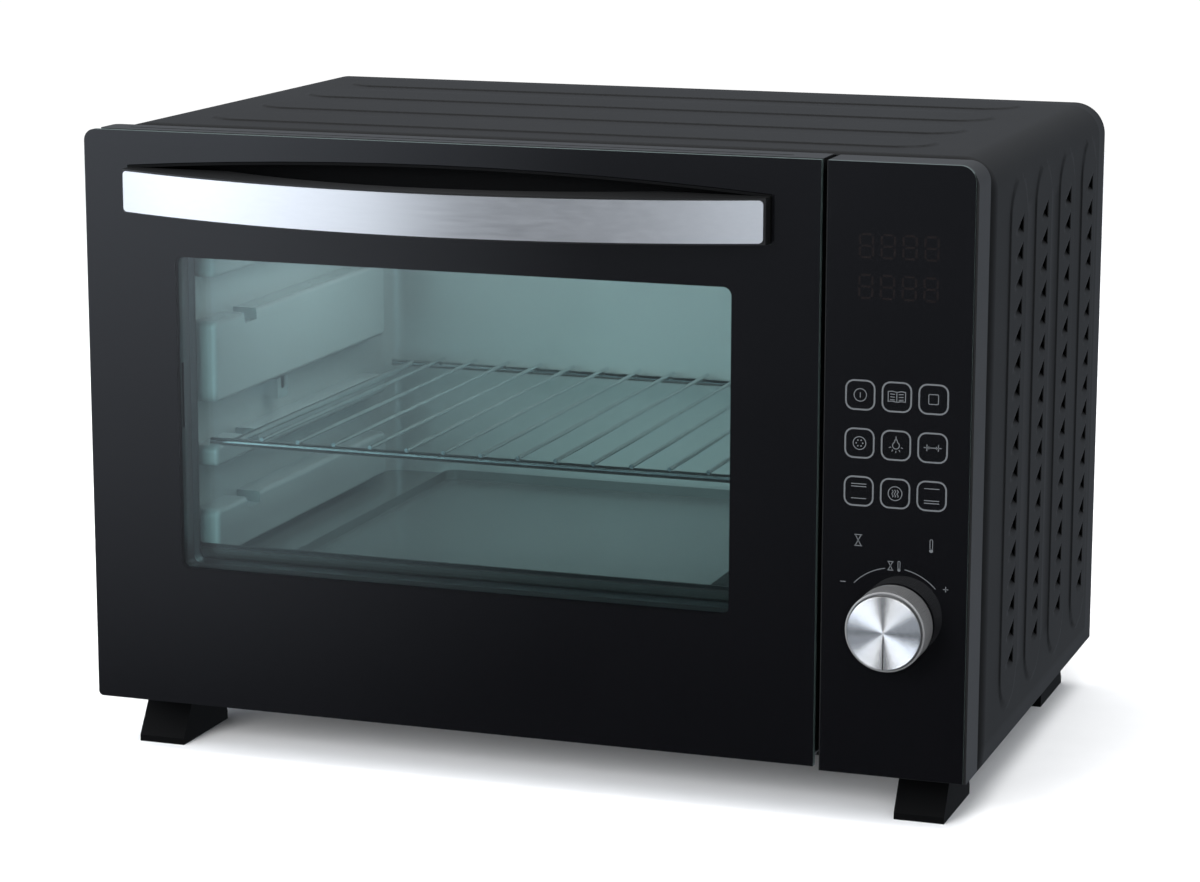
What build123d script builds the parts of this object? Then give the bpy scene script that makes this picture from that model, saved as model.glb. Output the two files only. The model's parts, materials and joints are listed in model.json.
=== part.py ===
from build123d import *
import os

# A free-standing toaster oven with a drop-down glass door and a side control panel.
# +Z is up, +X is to the right as the user faces the oven, and the front faces -Y.
# The origin is under the middle of the whole oven, on the surface that it stands on.

# Overall size, millimetres
WIDTH = 550.0
CABINET_HEIGHT = 355.0
CABINET_DEPTH = 327.0
FOOT_HEIGHT = 31.0
FRONT_DEPTH = 29.0        # door and control panel, in front of the cabinet
HANDLE_REACH = 50.0       # how far the handle stands out of the door glass
GLAND_REACH = 5.0         # how far the cord gland stands out of the back

TOTAL_DEPTH = HANDLE_REACH + FRONT_DEPTH + CABINET_DEPTH + GLAND_REACH
GLASS_FRONT = HANDLE_REACH - TOTAL_DEPTH / 2
CABINET_FRONT = GLASS_FRONT + FRONT_DEPTH
CABINET_BACK = CABINET_FRONT + CABINET_DEPTH
LEFT = -WIDTH / 2
RIGHT = WIDTH / 2
BOTTOM = FOOT_HEIGHT
TOP = FOOT_HEIGHT + CABINET_HEIGHT

# Sheet metal
SHEET = 0.8
RIB_RISE = 0.8            # how far the pressed ribs stand out of the cabinet
CORNER = 20.0             # bend radius along the cabinet's two top edges
SIDE = WIDTH / 2 - RIB_RISE
ROOF = TOP - RIB_RISE

# Pressed ribs and louvres
RIB_WIDTH = 46.0
SIDE_RIB_PITCH = 67.6
SIDE_RIB_LENGTH = 318.0
SIDE_RIB_MIDDLE = (CABINET_FRONT + 176.0, BOTTOM + 178.0)
TOP_RIB_PITCH = 73.0
TOP_RIB_LENGTH = 460.0
TOP_RIB_MIDDLE = (-3.0, CABINET_FRONT + 176.0)
RIBS = 4
LOUVRES = 17
LOUVRE_PITCH = 16.2
LOUVRE = (13.0, 7.0)      # length and height of each louvre's slot
LOUVRE_OFFSET = 4.3       # how far each slot's middle lies behind the middle of its rib

# Door
DOOR_WIDTH = 459.0
DOOR_HEIGHT = 352.0
DOOR_LEFT = LEFT
DOOR_RIGHT = DOOR_LEFT + DOOR_WIDTH
DOOR_BOTTOM = BOTTOM + 2.3
DOOR_TOP = DOOR_BOTTOM + DOOR_HEIGHT
DOOR_MIDDLE = (DOOR_LEFT + DOOR_RIGHT) / 2
GLASS = 4.0
FRAME_BACK = GLASS_FRONT + 25.0
FRAME_TOP = DOOR_TOP - 7.0
WINDOW_X = (DOOR_LEFT + 57.0, DOOR_LEFT + 409.0)
WINDOW_Z = (DOOR_BOTTOM + 84.0, DOOR_BOTTOM + 279.0)
WINDOW_LIP = 2.6
INNER_GLASS = 3.5

# Door hinge
HINGE_Y = GLASS_FRONT + 14.0
HINGE_Z = DOOR_BOTTOM + 8.0
PIN_RADIUS = 3.0
RUNNING_GAP = 0.05
HINGE_INSET = 21.0        # from the door's side edge to the middle of each bracket

# Handle: a bar bowed forward over a pocket in the glass
HANDLE_HALF = 200.0
HANDLE_Z = (DOOR_BOTTOM + 303.7, DOOR_BOTTOM + 330.0)
HANDLE_END = 10.0         # how far its ends stand out of the glass
HANDLE_FACE = 1.0
HANDLE_BACK = 31.0        # how far its inner curve stands out in the middle
HANDLE_BACK_HALF = 134.0
POCKET_DEPTH = 20.0
POCKET_RISE = 8.0         # rise of the pocket's arched top
POCKET_WALL = 1.5
BOSS_RADIUS = 5.0
SCREW_RADIUS = 2.0

# Control panel
PANEL_X = (DOOR_RIGHT + 4.0, RIGHT - 2.5)
PANEL_GLASS = 3.0
KNOB_X = LEFT + 505.5
KNOB_Z = DOOR_BOTTOM + 89.0
KNOB_RADIUS = 23.2
KNOB_FRONT = GLASS_FRONT - 24.0
KNOB_BACK = GLASS_FRONT - 1.5
CAP_RADIUS = 22.4         # the disc that stands in front of the knob's sleeve
CAP_THICK = 1.6
NECK_RADIUS = 20.8        # behind the disc, where a dark gap shows
SLEEVE_FRONT = KNOB_FRONT + 3.0
HUB_RADIUS = 6.0
SHAFT_RADIUS = 3.0

# Cavity
CAVITY_MIDDLE = LEFT + 241.5
CAVITY_HALF = 187.5       # to the bottom of the rack grooves
PAD_HALF = 171.5          # to the face of the wall between the grooves
CAVITY_BACK = GLASS_FRONT + 338.0
FLOOR_Z = DOOR_BOTTOM + 80.0
CEILING_Z = DOOR_BOTTOM + 304.0
LIP_Z = DOOR_BOTTOM + 95.0
CAVITY_CORNER = 14.0
WALL_FRONT = CABINET_FRONT + 1.2
PAD_END = GLASS_FRONT + 298.0
RAIL_TOPS = (DOOR_BOTTOM + 116.0, DOOR_BOTTOM + 156.0, DOOR_BOTTOM + 233.0)
GROOVE_HEIGHT = 27.0
NOTCH_Y = (GLASS_FRONT + 72.0, GLASS_FRONT + 90.0)
NOTCH_DEPTH = 7.0

UPPER_HEAT_Z = DOOR_BOTTOM + 291.0
LOWER_HEAT_Z = DOOR_BOTTOM + 66.0

# Rack
RACK_ROD = 2.5
RACK_SIDE_ROD = 2.2
RACK_WIRE = 1.3
RACK_WIRES = 13
RACK_PITCH = 23.8
RACK_Y = (GLASS_FRONT + 34.0, GLASS_FRONT + 325.0)
RACK_REACH = 177.5        # half length of the front and rear rods
RACK_SIDE = 163.0         # half distance between the side rods
RACK_Z = RAIL_TOPS[1] + 0.1 + RACK_ROD

HEATER_Y = (GLASS_FRONT + 100.0, GLASS_FRONT + 260.0)
HEATER_RADIUS = 3.2
HEATER_OVERHANG = 14.0    # how far the sheath passes each cavity wall
TERMINAL_LENGTH = 8.0
TERMINAL_RADIUS = 1.5
BUSH_RADIUS = 7.0
BUSH_LENGTH = 10.0
TRAY_HALF = 135.5
TRAY_LENGTH = 276.0
TRAY_HEIGHT = 7.0
TRAY_CORNER = 8.0
WELD = 0.4                # how deep a rack wire sinks into the rods it is welded to

# Back, base and feet
BACK_SCREW_X = (-258.0, 0.0, 258.0)
BACK_SCREW_Z = (BOTTOM + 14.0, TOP - 18.0)
BACK_VENTS = (12, 7)      # columns and rows
BACK_VENT_PITCH = (30.0, 12.0)
BACK_VENT = (20.0, 3.0)
BACK_VENT_START = (-180.0, TOP - 60.0)
BASE_VENTS = (10, 2)
BASE_VENT_PITCH = (36.0, 90.0)
BASE_VENT = (22.0, 4.0)
BASE_VENT_START = (-200.0, CABINET_FRONT + 110.0)
SCREW_HEAD = 4.0
FOOT_WIDTH = 30.0
FOOT_LENGTH = 64.0
FOOT_INSET = 32.5
FOOT_SCREW_Y = 36.0       # from the toe
FOOT_SCREW = 2.5
GLAND_FLANGE = 12.0
GLAND_BODY = 9.0

# Electronics bay
DIVIDER_X = LEFT + 456.0
DIVIDER = 1.0
BAY_WALL = DIVIDER_X + DIVIDER
HOLE_ROOM = 1.0           # how far a cutting tool passes the face that it cuts
FAN_Y = GLASS_FRONT + 240.0
FAN_Z = DOOR_BOTTOM + 208.0
FAN_RADIUS = 44.0
SPIT_Y = GLASS_FRONT + 141.0
SPIT_Z = DOOR_BOTTOM + 174.0
LAMP_Y = GLASS_FRONT + 180.0
LAMP_Z = DOOR_BOTTOM + 280.0
FAN_VENT_RINGS = ((7, 6), (15, 12), (22, 18))   # radius and number of holes
FAN_VENT = 2.0
FAN_VANES = 5
FAN_SHAFT = 2.0
SPIT_SHAFT = 3.0
SPIT_SOCKET = 6.0
SPIT_MOTOR = 24.0
PROBE_RADIUS = 2.0
LENS_RADIUS = 14.6
LENS_FLANGE = 17.0
BULB_RADIUS = 8.0
BOARD = 1.6
BOARD_STANDOFF = 8.0
PROBE = (GLASS_FRONT + 312.0, DOOR_BOTTOM + 275.0)
GLAND_X = LEFT + 505.0
GLAND_Z = BOTTOM + 30.0
GLAND_BORE = 4.0


def block(x, y, z):
    """A box between pairs of limits."""
    sizes = [high - low for low, high in (x, y, z)]
    centres = [(low + high) / 2 for low, high in (x, y, z)]
    return Pos(*centres) * Box(*sizes)


def bar(start, end, radius):
    """A round bar from one point to another."""
    along = Vector(*end) - Vector(*start)
    place = Plane(origin=start, z_dir=along)
    return place * Cylinder(radius, along.length, align=(Align.CENTER, Align.CENTER, Align.MIN))


def upright(sketch, y):
    """A sketch drawn in X and Z, given a thickness along Y."""
    place = Plane(origin=(0, y[1], 0), x_dir=(1, 0, 0), z_dir=(0, -1, 0))
    return extrude(place * sketch, amount=y[1] - y[0])


def level(sketch, z):
    """A sketch drawn in X and Y, given a thickness along Z."""
    return extrude(Pos(0, 0, z[0]) * sketch, amount=z[1] - z[0])


def middle(pair):
    return (pair[0] + pair[1]) / 2


def rounded(x, z, radius):
    """A rectangle with rounded corners between pairs of limits."""
    return Pos(middle(x), middle(z)) * RectangleRounded(x[1] - x[0], z[1] - z[0], radius)


def save(name, solid):
    export_step(solid, f"parts/{name}.step")
    print(f"{name}: {solid.volume:.0f} mm3")


def mirrored(solid):
    """The same shape on the other side of the cavity's middle."""
    return mirror(solid, about=Plane(origin=(CAVITY_MIDDLE, 0, 0), z_dir=(1, 0, 0)))


# Cabinet

def cabinet_outline(inset):
    """The cabinet seen from the front: square feet corners, bent top corners."""
    half = SIDE - inset
    top = ROOF - inset
    outline = Pos(0, middle((BOTTOM, top))) * Rectangle(2 * half, top - BOTTOM)
    return fillet(outline.vertices().sort_by(Axis.Y)[2:], CORNER - inset)


def side_ribs(side):
    """Upright pressed ribs on one side of the cabinet."""
    ribs = []
    for place in range(RIBS):
        y = SIDE_RIB_MIDDLE[0] + (place - (RIBS - 1) / 2) * SIDE_RIB_PITCH
        plane = Plane(origin=(side * SIDE, y, SIDE_RIB_MIDDLE[1]), x_dir=(0, 0, 1), z_dir=(side, 0, 0))
        ribs.append(extrude(plane * SlotOverall(SIDE_RIB_LENGTH, RIB_WIDTH), amount=RIB_RISE))
    return ribs


def top_ribs():
    """Pressed ribs across the top of the cabinet."""
    ribs = []
    for place in range(RIBS):
        y = TOP_RIB_MIDDLE[1] + (place - (RIBS - 1) / 2) * TOP_RIB_PITCH
        stadium = Pos(TOP_RIB_MIDDLE[0], y) * SlotOverall(TOP_RIB_LENGTH, RIB_WIDTH)
        ribs.append(level(stadium, (ROOF, TOP)))
    return ribs


def louvre_slots():
    """Rows of air slots down every side rib, cut right through."""
    slots = []
    for rib in range(RIBS):
        y = SIDE_RIB_MIDDLE[0] + (rib - (RIBS - 1) / 2) * SIDE_RIB_PITCH + LOUVRE_OFFSET
        for row in range(LOUVRES):
            z = SIDE_RIB_MIDDLE[1] + (row - (LOUVRES - 1) / 2) * LOUVRE_PITCH
            width, height = LOUVRE
            for side in (-1, 1):
                x = sorted((side * (SIDE - 3), side * (RIGHT + 1)))
                slots.append(block(x, (y - width / 2, y + width / 2), (z - height / 2, z + height / 2)))
    return slots


def outer_cabinet():
    wall = cabinet_outline(0) - cabinet_outline(SHEET)
    wall -= Pos(0, BOTTOM) * Rectangle(2 * (SIDE - SHEET), 4 * SHEET)
    shell = upright(wall, (CABINET_FRONT, CABINET_BACK))
    for rib in side_ribs(-1) + side_ribs(1) + top_ribs():
        shell += rib
    return shell - louvre_slots()


def back_vents():
    vents = []
    for column in range(BACK_VENTS[0]):
        for row in range(BACK_VENTS[1]):
            x = BACK_VENT_START[0] + column * BACK_VENT_PITCH[0]
            z = BACK_VENT_START[1] - row * BACK_VENT_PITCH[1]
            across = (x - BACK_VENT[0] / 2, x + BACK_VENT[0] / 2)
            up = (z - BACK_VENT[1] / 2, z + BACK_VENT[1] / 2)
            vents.append(block(across, (CABINET_BACK - 2, CABINET_BACK + HOLE_ROOM), up))
    return vents


def back_panel():
    panel = upright(cabinet_outline(SHEET + 0.2), (CABINET_BACK - SHEET, CABINET_BACK))
    y = (CABINET_BACK - 3, CABINET_BACK + HOLE_ROOM)
    gland = bar((GLAND_X, y[0], GLAND_Z), (GLAND_X, y[1], GLAND_Z), GLAND_BODY)
    screws = [bar((x, y[0], z), (x, y[1], z), SCREW_RADIUS + 0.1) for x, z in back_screw_places()]
    return panel - back_vents() - gland - screws


def back_screw_places():
    return [(x, z) for x in BACK_SCREW_X for z in BACK_SCREW_Z]


def cabinet_screws():
    """Pan-head screws that hold the back panel."""
    screws = []
    for x, z in back_screw_places():
        shank = bar((x, CABINET_BACK - 9, z), (x, CABINET_BACK, z), SCREW_RADIUS)
        head = bar((x, CABINET_BACK, z), (x, CABINET_BACK + 2.2, z), SCREW_HEAD)
        recess = (CABINET_BACK + 1.2, CABINET_BACK + 3)
        cross = block((x - 2.2, x + 2.2), recess, (z - 0.5, z + 0.5))
        cross += block((x - 0.5, x + 0.5), recess, (z - 2.2, z + 2.2))
        screws.append(head + shank - cross)
    return Compound(children=screws)


def foot_places():
    """Each foot's name, its middle in X, its toe in Y and which way along Y it runs from its toe."""
    front = CABINET_FRONT - 9
    back = CABINET_BACK - 8
    return [
        ("foot_front_left", LEFT + FOOT_INSET, front, 1),
        ("foot_front_right", RIGHT - FOOT_INSET, front, 1),
        ("foot_rear_left", LEFT + FOOT_INSET, back, -1),
        ("foot_rear_right", RIGHT - FOOT_INSET, back, -1),
    ]


def foot(x, toe, way):
    """A wedge foot that spreads towards its toe."""
    profile = [(0, 0), (FOOT_LENGTH, 0), (FOOT_LENGTH, 5.5), (52, FOOT_HEIGHT), (17, FOOT_HEIGHT), (0, 4)]
    points = [(x - FOOT_WIDTH / 2, toe + way * y, z) for y, z in profile]
    wedge = extrude(make_face(Polyline(*points, close=True)), amount=FOOT_WIDTH, dir=(1, 0, 0))
    y = toe + way * FOOT_SCREW_Y
    return wedge - bar((x, y, FOOT_HEIGHT - 14), (x, y, FOOT_HEIGHT + HOLE_ROOM), FOOT_SCREW)


def base_panel():
    inset = 1.2
    sheet_z = (BOTTOM, BOTTOM + SHEET)
    cut_z = (BOTTOM - HOLE_ROOM, BOTTOM + SHEET + HOLE_ROOM)
    panel = block((-SIDE + inset, SIDE - inset), (CABINET_FRONT + 1.5, CABINET_BACK - inset), sheet_z)
    cuts = []
    for column in range(BASE_VENTS[0]):
        for row in range(BASE_VENTS[1]):
            x = BASE_VENT_START[0] + column * BASE_VENT_PITCH[0]
            y = BASE_VENT_START[1] + row * BASE_VENT_PITCH[1]
            across = (x - BASE_VENT[0] / 2, x + BASE_VENT[0] / 2)
            cuts.append(block(across, (y - BASE_VENT[1] / 2, y + BASE_VENT[1] / 2), cut_z))
    for name, x, toe, way in foot_places():
        y = toe + way * FOOT_SCREW_Y
        cuts.append(bar((x, y, cut_z[0]), (x, y, cut_z[1]), FOOT_SCREW + 0.1))
    return panel - cuts


def foot_screws():
    screws = []
    top = BOTTOM + SHEET
    for name, x, toe, way in foot_places():
        y = toe + way * FOOT_SCREW_Y
        shank = bar((x, y, BOTTOM - 13), (x, y, top), FOOT_SCREW)
        screws.append(shank + bar((x, y, top), (x, y, top + 2.6), 2 * FOOT_SCREW))
    return Compound(children=screws)


def front_frame():
    plate = block((-SIDE + 1.2, SIDE - 1.2), (CABINET_FRONT, WALL_FRONT), (BOTTOM + 1.5, ROOF - 1.2))
    edges = plate.edges().filter_by(Axis.Y).sort_by(Axis.Z)[2:]
    plate = fillet(edges, CORNER - 1.5)
    mouth_x = (CAVITY_MIDDLE - CAVITY_HALF, CAVITY_MIDDLE + CAVITY_HALF)
    mouth = upright(rounded(mouth_x, (LIP_Z, CEILING_Z), 6), (CABINET_FRONT - 1, WALL_FRONT + 1))
    bay = block((PANEL_X[0] + 6, PANEL_X[1] - 6), (CABINET_FRONT - 1, WALL_FRONT + 1), (BOTTOM + 16, TOP - 24))
    return plate - mouth - bay


# Cavity

def pad_bands():
    """Heights of the wall's raised bands, between the rack grooves."""
    lows = [FLOOR_Z + 6] + [top + GROOVE_HEIGHT for top in RAIL_TOPS]
    highs = list(RAIL_TOPS) + [CEILING_Z - 6]
    return list(zip(lows, highs))


def raised_band(low, high):
    """One raised band of the left wall, pressed out of the sheet and hollow behind."""
    x = (CAVITY_MIDDLE - CAVITY_HALF, CAVITY_MIDDLE - PAD_HALF)
    band = block((x[0] - 1, x[1]), (WALL_FRONT, PAD_END), (low, high))
    band = fillet(band.edges().filter_by(Axis.X), min(5.0, (high - low) / 2 - 0.5))
    band = fillet(band.faces().sort_by(Axis.X)[-1].edges(), 3)
    hollow = block((x[0] - 2, x[1] - SHEET), (WALL_FRONT + 1, PAD_END - 1), (low + 1, high - 1))
    hollow = fillet(hollow.edges().filter_by(Axis.X), min(4.0, (high - low) / 2 - 1.5))
    hollow = fillet(hollow.faces().sort_by(Axis.X)[-1].edges(), 2.2)
    return band, hollow


def cavity_side():
    """The left wall: a flat sheet with raised bands, and a stop notch in each rail."""
    x = (CAVITY_MIDDLE - CAVITY_HALF - SHEET, CAVITY_MIDDLE - CAVITY_HALF)
    wall = block(x, (WALL_FRONT, CAVITY_BACK - CAVITY_CORNER), (FLOOR_Z, CEILING_Z))
    for low, high in pad_bands():
        band, hollow = raised_band(low, high)
        wall = wall + band - hollow
    for top in RAIL_TOPS:
        wall -= stop_notch(top)
        wall += notch_floor(top)
    behind = block((x[0] - 5, x[0]), (WALL_FRONT - 1, CAVITY_BACK), (FLOOR_Z - 1, CEILING_Z + 1))
    return wall - behind


def stop_notch(top):
    """The dip cut in a rail's top edge."""
    x = (CAVITY_MIDDLE - CAVITY_HALF, CAVITY_MIDDLE - PAD_HALF + 1)
    return block(x, NOTCH_Y, (top - NOTCH_DEPTH, top + 1))


def notch_floor(top):
    """The pressed trough that closes the dip, as thick as the sheet."""
    x = (CAVITY_MIDDLE - CAVITY_HALF - SHEET, CAVITY_MIDDLE - PAD_HALF - 0.2)
    y = (NOTCH_Y[0] - SHEET, NOTCH_Y[1] + SHEET)
    trough = block(x, y, (top - NOTCH_DEPTH - SHEET, top - 0.4))
    return trough - stop_notch(top)


def heater_places():
    """Where the heater tubes cross the oven: name, Y and Z."""
    front, rear = HEATER_Y
    return [
        ("upper_heater_front", front, UPPER_HEAT_Z),
        ("upper_heater_rear", rear, UPPER_HEAT_Z),
        ("lower_heater_front", front, LOWER_HEAT_Z),
        ("lower_heater_rear", rear, LOWER_HEAT_Z),
    ]


def heater_holes():
    """Holes for the upper heaters through both side walls."""
    left, right = CAVITY_MIDDLE - CAVITY_HALF - 5, CAVITY_MIDDLE + CAVITY_HALF + 5
    return [bar((left, y, z), (right, y, z), HEATER_RADIUS + 0.4) for name, y, z in heater_places()[:2]]


def cavity_left_wall():
    return cavity_side() - heater_holes()


def fan_vents():
    """Rings of round holes through the right wall, in front of the fan."""
    holes = []
    x = (CAVITY_MIDDLE + PAD_HALF - HOLE_ROOM, CAVITY_MIDDLE + CAVITY_HALF + 2)
    for ring, count in FAN_VENT_RINGS:
        for spot in range(count):
            offset = Vector(0, ring, 0).rotate(Axis.X, 360 * spot / count)
            y, z = FAN_Y + offset.Y, FAN_Z + offset.Z
            holes.append(bar((x[0], y, z), (x[1], y, z), FAN_VENT))
    return holes


def cavity_right_wall():
    wall = mirrored(cavity_side())
    x = (CAVITY_MIDDLE + PAD_HALF - 1, CAVITY_MIDDLE + CAVITY_HALF + 2)
    lamp = bar((x[0], LAMP_Y, LAMP_Z), (x[1], LAMP_Y, LAMP_Z), 15)
    spit = bar((x[0], SPIT_Y, SPIT_Z), (x[1], SPIT_Y, SPIT_Z), 7)
    probe = bar((x[0], PROBE[0], PROBE[1]), (x[1], PROBE[0], PROBE[1]), 2.2)
    return wall - heater_holes() - fan_vents() - lamp - spit - probe


def cavity_back_wall():
    """The back of the cavity, bent forward at both ends in a large radius."""
    outer = rounded_back(SHEET) - rounded_back(0)
    strip = block((LEFT, RIGHT), (CAVITY_BACK - CAVITY_CORNER, CAVITY_BACK + SHEET), (FLOOR_Z, CEILING_Z))
    return level(outer, (FLOOR_Z, CEILING_Z)) & strip


def rounded_back(grow):
    x = (CAVITY_MIDDLE - CAVITY_HALF - grow, CAVITY_MIDDLE + CAVITY_HALF + grow)
    y = (CAVITY_BACK - 100, CAVITY_BACK + grow)
    return rounded(x, y, CAVITY_CORNER + grow)


def cavity_sheet(z):
    x = (CAVITY_MIDDLE - CAVITY_HALF, CAVITY_MIDDLE + CAVITY_HALF)
    return block(x, (WALL_FRONT, CAVITY_BACK), z)


def crumb_tray():
    """A shallow loose tray that lies on the cavity floor."""
    x = (CAVITY_MIDDLE - TRAY_HALF, CAVITY_MIDDLE + TRAY_HALF)
    y = (WALL_FRONT + 14, WALL_FRONT + 14 + TRAY_LENGTH)
    tray = block(x, y, (FLOOR_Z, FLOOR_Z + TRAY_HEIGHT))
    tray = fillet(tray.edges().filter_by(Axis.Z), TRAY_CORNER)
    inside_x = (x[0] + SHEET, x[1] - SHEET)
    inside_y = (y[0] + SHEET, y[1] - SHEET)
    inside = block(inside_x, inside_y, (FLOOR_Z + SHEET, FLOOR_Z + TRAY_HEIGHT + HOLE_ROOM))
    return tray - fillet(inside.edges().filter_by(Axis.Z), TRAY_CORNER - SHEET)


def heater(y, z):
    """A straight sheathed heater with a terminal pin at each end."""
    reach = CAVITY_HALF + HEATER_OVERHANG
    left, right = CAVITY_MIDDLE - reach, CAVITY_MIDDLE + reach
    tube = bar((left, y, z), (right, y, z), HEATER_RADIUS)
    tube += bar((left - TERMINAL_LENGTH, y, z), (left, y, z), TERMINAL_RADIUS)
    return tube + bar((right, y, z), (right + TERMINAL_LENGTH, y, z), TERMINAL_RADIUS)


def heater_insulators():
    """Ceramic bushes that hold the heater tubes outside the cavity walls."""
    bushes = []
    start = CAVITY_HALF + SHEET
    for name, y, z in heater_places():
        for side in (-1, 1):
            near = (CAVITY_MIDDLE + side * start, y, z)
            far = (CAVITY_MIDDLE + side * (start + BUSH_LENGTH), y, z)
            bushes.append(bar(near, far, BUSH_RADIUS) - bar(near, far, HEATER_RADIUS))
    return Compound(children=bushes)


def wire_rack():
    """A welded rack: two cross rods, two side rods and straight wires on top."""
    x = (CAVITY_MIDDLE - RACK_REACH, CAVITY_MIDDLE + RACK_REACH)
    rack = bar((x[0], RACK_Y[0], RACK_Z), (x[1], RACK_Y[0], RACK_Z), RACK_ROD)
    rack += bar((x[0], RACK_Y[1], RACK_Z), (x[1], RACK_Y[1], RACK_Z), RACK_ROD)
    for side in (-1, 1):
        place = CAVITY_MIDDLE + side * RACK_SIDE
        rack += bar((place, RACK_Y[0], RACK_Z), (place, RACK_Y[1], RACK_Z), RACK_SIDE_ROD)
    top = RACK_Z + RACK_ROD + RACK_WIRE - WELD
    for wire in range(RACK_WIRES):
        place = CAVITY_MIDDLE + (wire - (RACK_WIRES - 1) / 2) * RACK_PITCH
        rack += bar((place, RACK_Y[0] - 2, top), (place, RACK_Y[1] + 8, top), RACK_WIRE)
    return rack


def spit_rest():
    """A hook on the left wall that carries the free end of a rotisserie spit."""
    x = (CAVITY_MIDDLE - CAVITY_HALF, CAVITY_MIDDLE - CAVITY_HALF + 10)
    hook = block(x, (SPIT_Y - 8, SPIT_Y + 8), (SPIT_Z - 7, SPIT_Z + 6))
    seat = block((x[0] + 3, x[1] - 2), (SPIT_Y - 4, SPIT_Y + 4), (SPIT_Z, SPIT_Z + 8))
    seat += bar((x[0] + 3, SPIT_Y, SPIT_Z), (x[1] - 2, SPIT_Y, SPIT_Z), 4)
    slot = block((x[1] - 3, x[1] + 1), (SPIT_Y - 2.5, SPIT_Y + 2.5), (SPIT_Z - 1, SPIT_Z + 8))
    return hook - seat - slot


# Electronics bay

def bay_divider():
    """The wall between the cavity and the electronics, with holes for what passes through."""
    plate = block((DIVIDER_X, BAY_WALL), (WALL_FRONT + 2, CABINET_BACK - 3), (BOTTOM + 2, ROOF - 2.5))
    x = (DIVIDER_X - HOLE_ROOM, BAY_WALL + HOLE_ROOM)
    holes = ((FAN_Y, FAN_Z, 6), (SPIT_Y, SPIT_Z, 4), (*PROBE, PROBE_RADIUS + 0.2))
    return plate - [bar((x[0], y, z), (x[1], y, z), radius) for y, z, radius in holes]


def fan_housing():
    x = (CAVITY_MIDDLE + CAVITY_HALF + SHEET, DIVIDER_X)
    cup = bar((x[0], FAN_Y, FAN_Z), (x[1], FAN_Y, FAN_Z), FAN_RADIUS + 5)
    cup -= bar((x[0] - 1, FAN_Y, FAN_Z), (x[1] - 1, FAN_Y, FAN_Z), FAN_RADIUS + 4)
    return cup - bar((x[1] - 2, FAN_Y, FAN_Z), (x[1] + 1, FAN_Y, FAN_Z), 6)


def fan_blade():
    """A five-bladed wheel with its hub and shaft."""
    x = (CAVITY_MIDDLE + CAVITY_HALF + 5, DIVIDER_X - 5)
    hub = x[0] + 4
    wheel = bar((x[1] - 2, FAN_Y, FAN_Z), (x[1], FAN_Y, FAN_Z), FAN_RADIUS - 14)
    wheel += bar((hub, FAN_Y, FAN_Z), (x[1], FAN_Y, FAN_Z), 8)
    wheel += bar((hub, FAN_Y, FAN_Z), (DIVIDER_X + 25, FAN_Y, FAN_Z), FAN_SHAFT)
    vane = block(x, (-1, 1), (20, FAN_RADIUS))
    for turn in range(FAN_VANES):
        wheel += Pos(0, FAN_Y, FAN_Z) * Rot(360 / FAN_VANES * turn, 0, 0) * vane
    return wheel


def fan_motor():
    """A shaded-pole motor on its boss, bored for the fan's shaft."""
    start = BAY_WALL + 6
    motor = block((start, start + 20), (FAN_Y - 30, FAN_Y + 30), (FAN_Z - 24, FAN_Z + 24))
    motor += bar((BAY_WALL, FAN_Y, FAN_Z), (start, FAN_Y, FAN_Z), 9)
    bore = bar((BAY_WALL - 1, FAN_Y, FAN_Z), (start + 21, FAN_Y, FAN_Z), FAN_SHAFT + RUNNING_GAP)
    return motor - bore


def spit_socket():
    """The square drive socket in the cavity wall, with its shaft."""
    x = CAVITY_MIDDLE + CAVITY_HALF
    socket = bar((x - 10, SPIT_Y, SPIT_Z), (x + 4, SPIT_Y, SPIT_Z), SPIT_SOCKET)
    socket += bar((x + 4, SPIT_Y, SPIT_Z), (DIVIDER_X + 18, SPIT_Y, SPIT_Z), SPIT_SHAFT)
    half = SPIT_SOCKET / 2
    return socket - block((x - 11, x - 1), (SPIT_Y - half, SPIT_Y + half), (SPIT_Z - half, SPIT_Z + half))


def spit_motor():
    motor = bar((BAY_WALL, SPIT_Y, SPIT_Z), (BAY_WALL + 20, SPIT_Y, SPIT_Z), SPIT_MOTOR)
    bore = bar((BAY_WALL - 1, SPIT_Y, SPIT_Z), (BAY_WALL + 18, SPIT_Y, SPIT_Z), SPIT_SHAFT + RUNNING_GAP)
    return motor - bore


def lamp_lens():
    """A shallow glass dome with a flange behind the wall."""
    x = CAVITY_MIDDLE + CAVITY_HALF
    back = x + SHEET
    outer = bar((x - 13, LAMP_Y, LAMP_Z), (back, LAMP_Y, LAMP_Z), LENS_RADIUS)
    outer = fillet(outer.faces().sort_by(Axis.X)[0].edges(), 5)
    outer += bar((back, LAMP_Y, LAMP_Z), (back + 2, LAMP_Y, LAMP_Z), LENS_FLANGE)
    return outer - bar((x - 11, LAMP_Y, LAMP_Z), (x + 6, LAMP_Y, LAMP_Z), LENS_RADIUS - 2.6)


def lamp_bulb():
    x = CAVITY_MIDDLE + CAVITY_HALF
    base = x + 10
    glass = bar((x - 9, LAMP_Y, LAMP_Z), (base, LAMP_Y, LAMP_Z), BULB_RADIUS)
    glass = fillet(glass.faces().sort_by(Axis.X)[0].edges(), BULB_RADIUS - 1)
    return glass + bar((base, LAMP_Y, LAMP_Z), (base + 10, LAMP_Y, LAMP_Z), BULB_RADIUS - 1.2)


def lamp_holder():
    x = CAVITY_MIDDLE + CAVITY_HALF + SHEET + 2
    cup = bar((x, LAMP_Y, LAMP_Z), (DIVIDER_X, LAMP_Y, LAMP_Z), LENS_FLANGE)
    return cup - bar((x - 1, LAMP_Y, LAMP_Z), (x + 18, LAMP_Y, LAMP_Z), LENS_RADIUS - 2.6)


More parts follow.
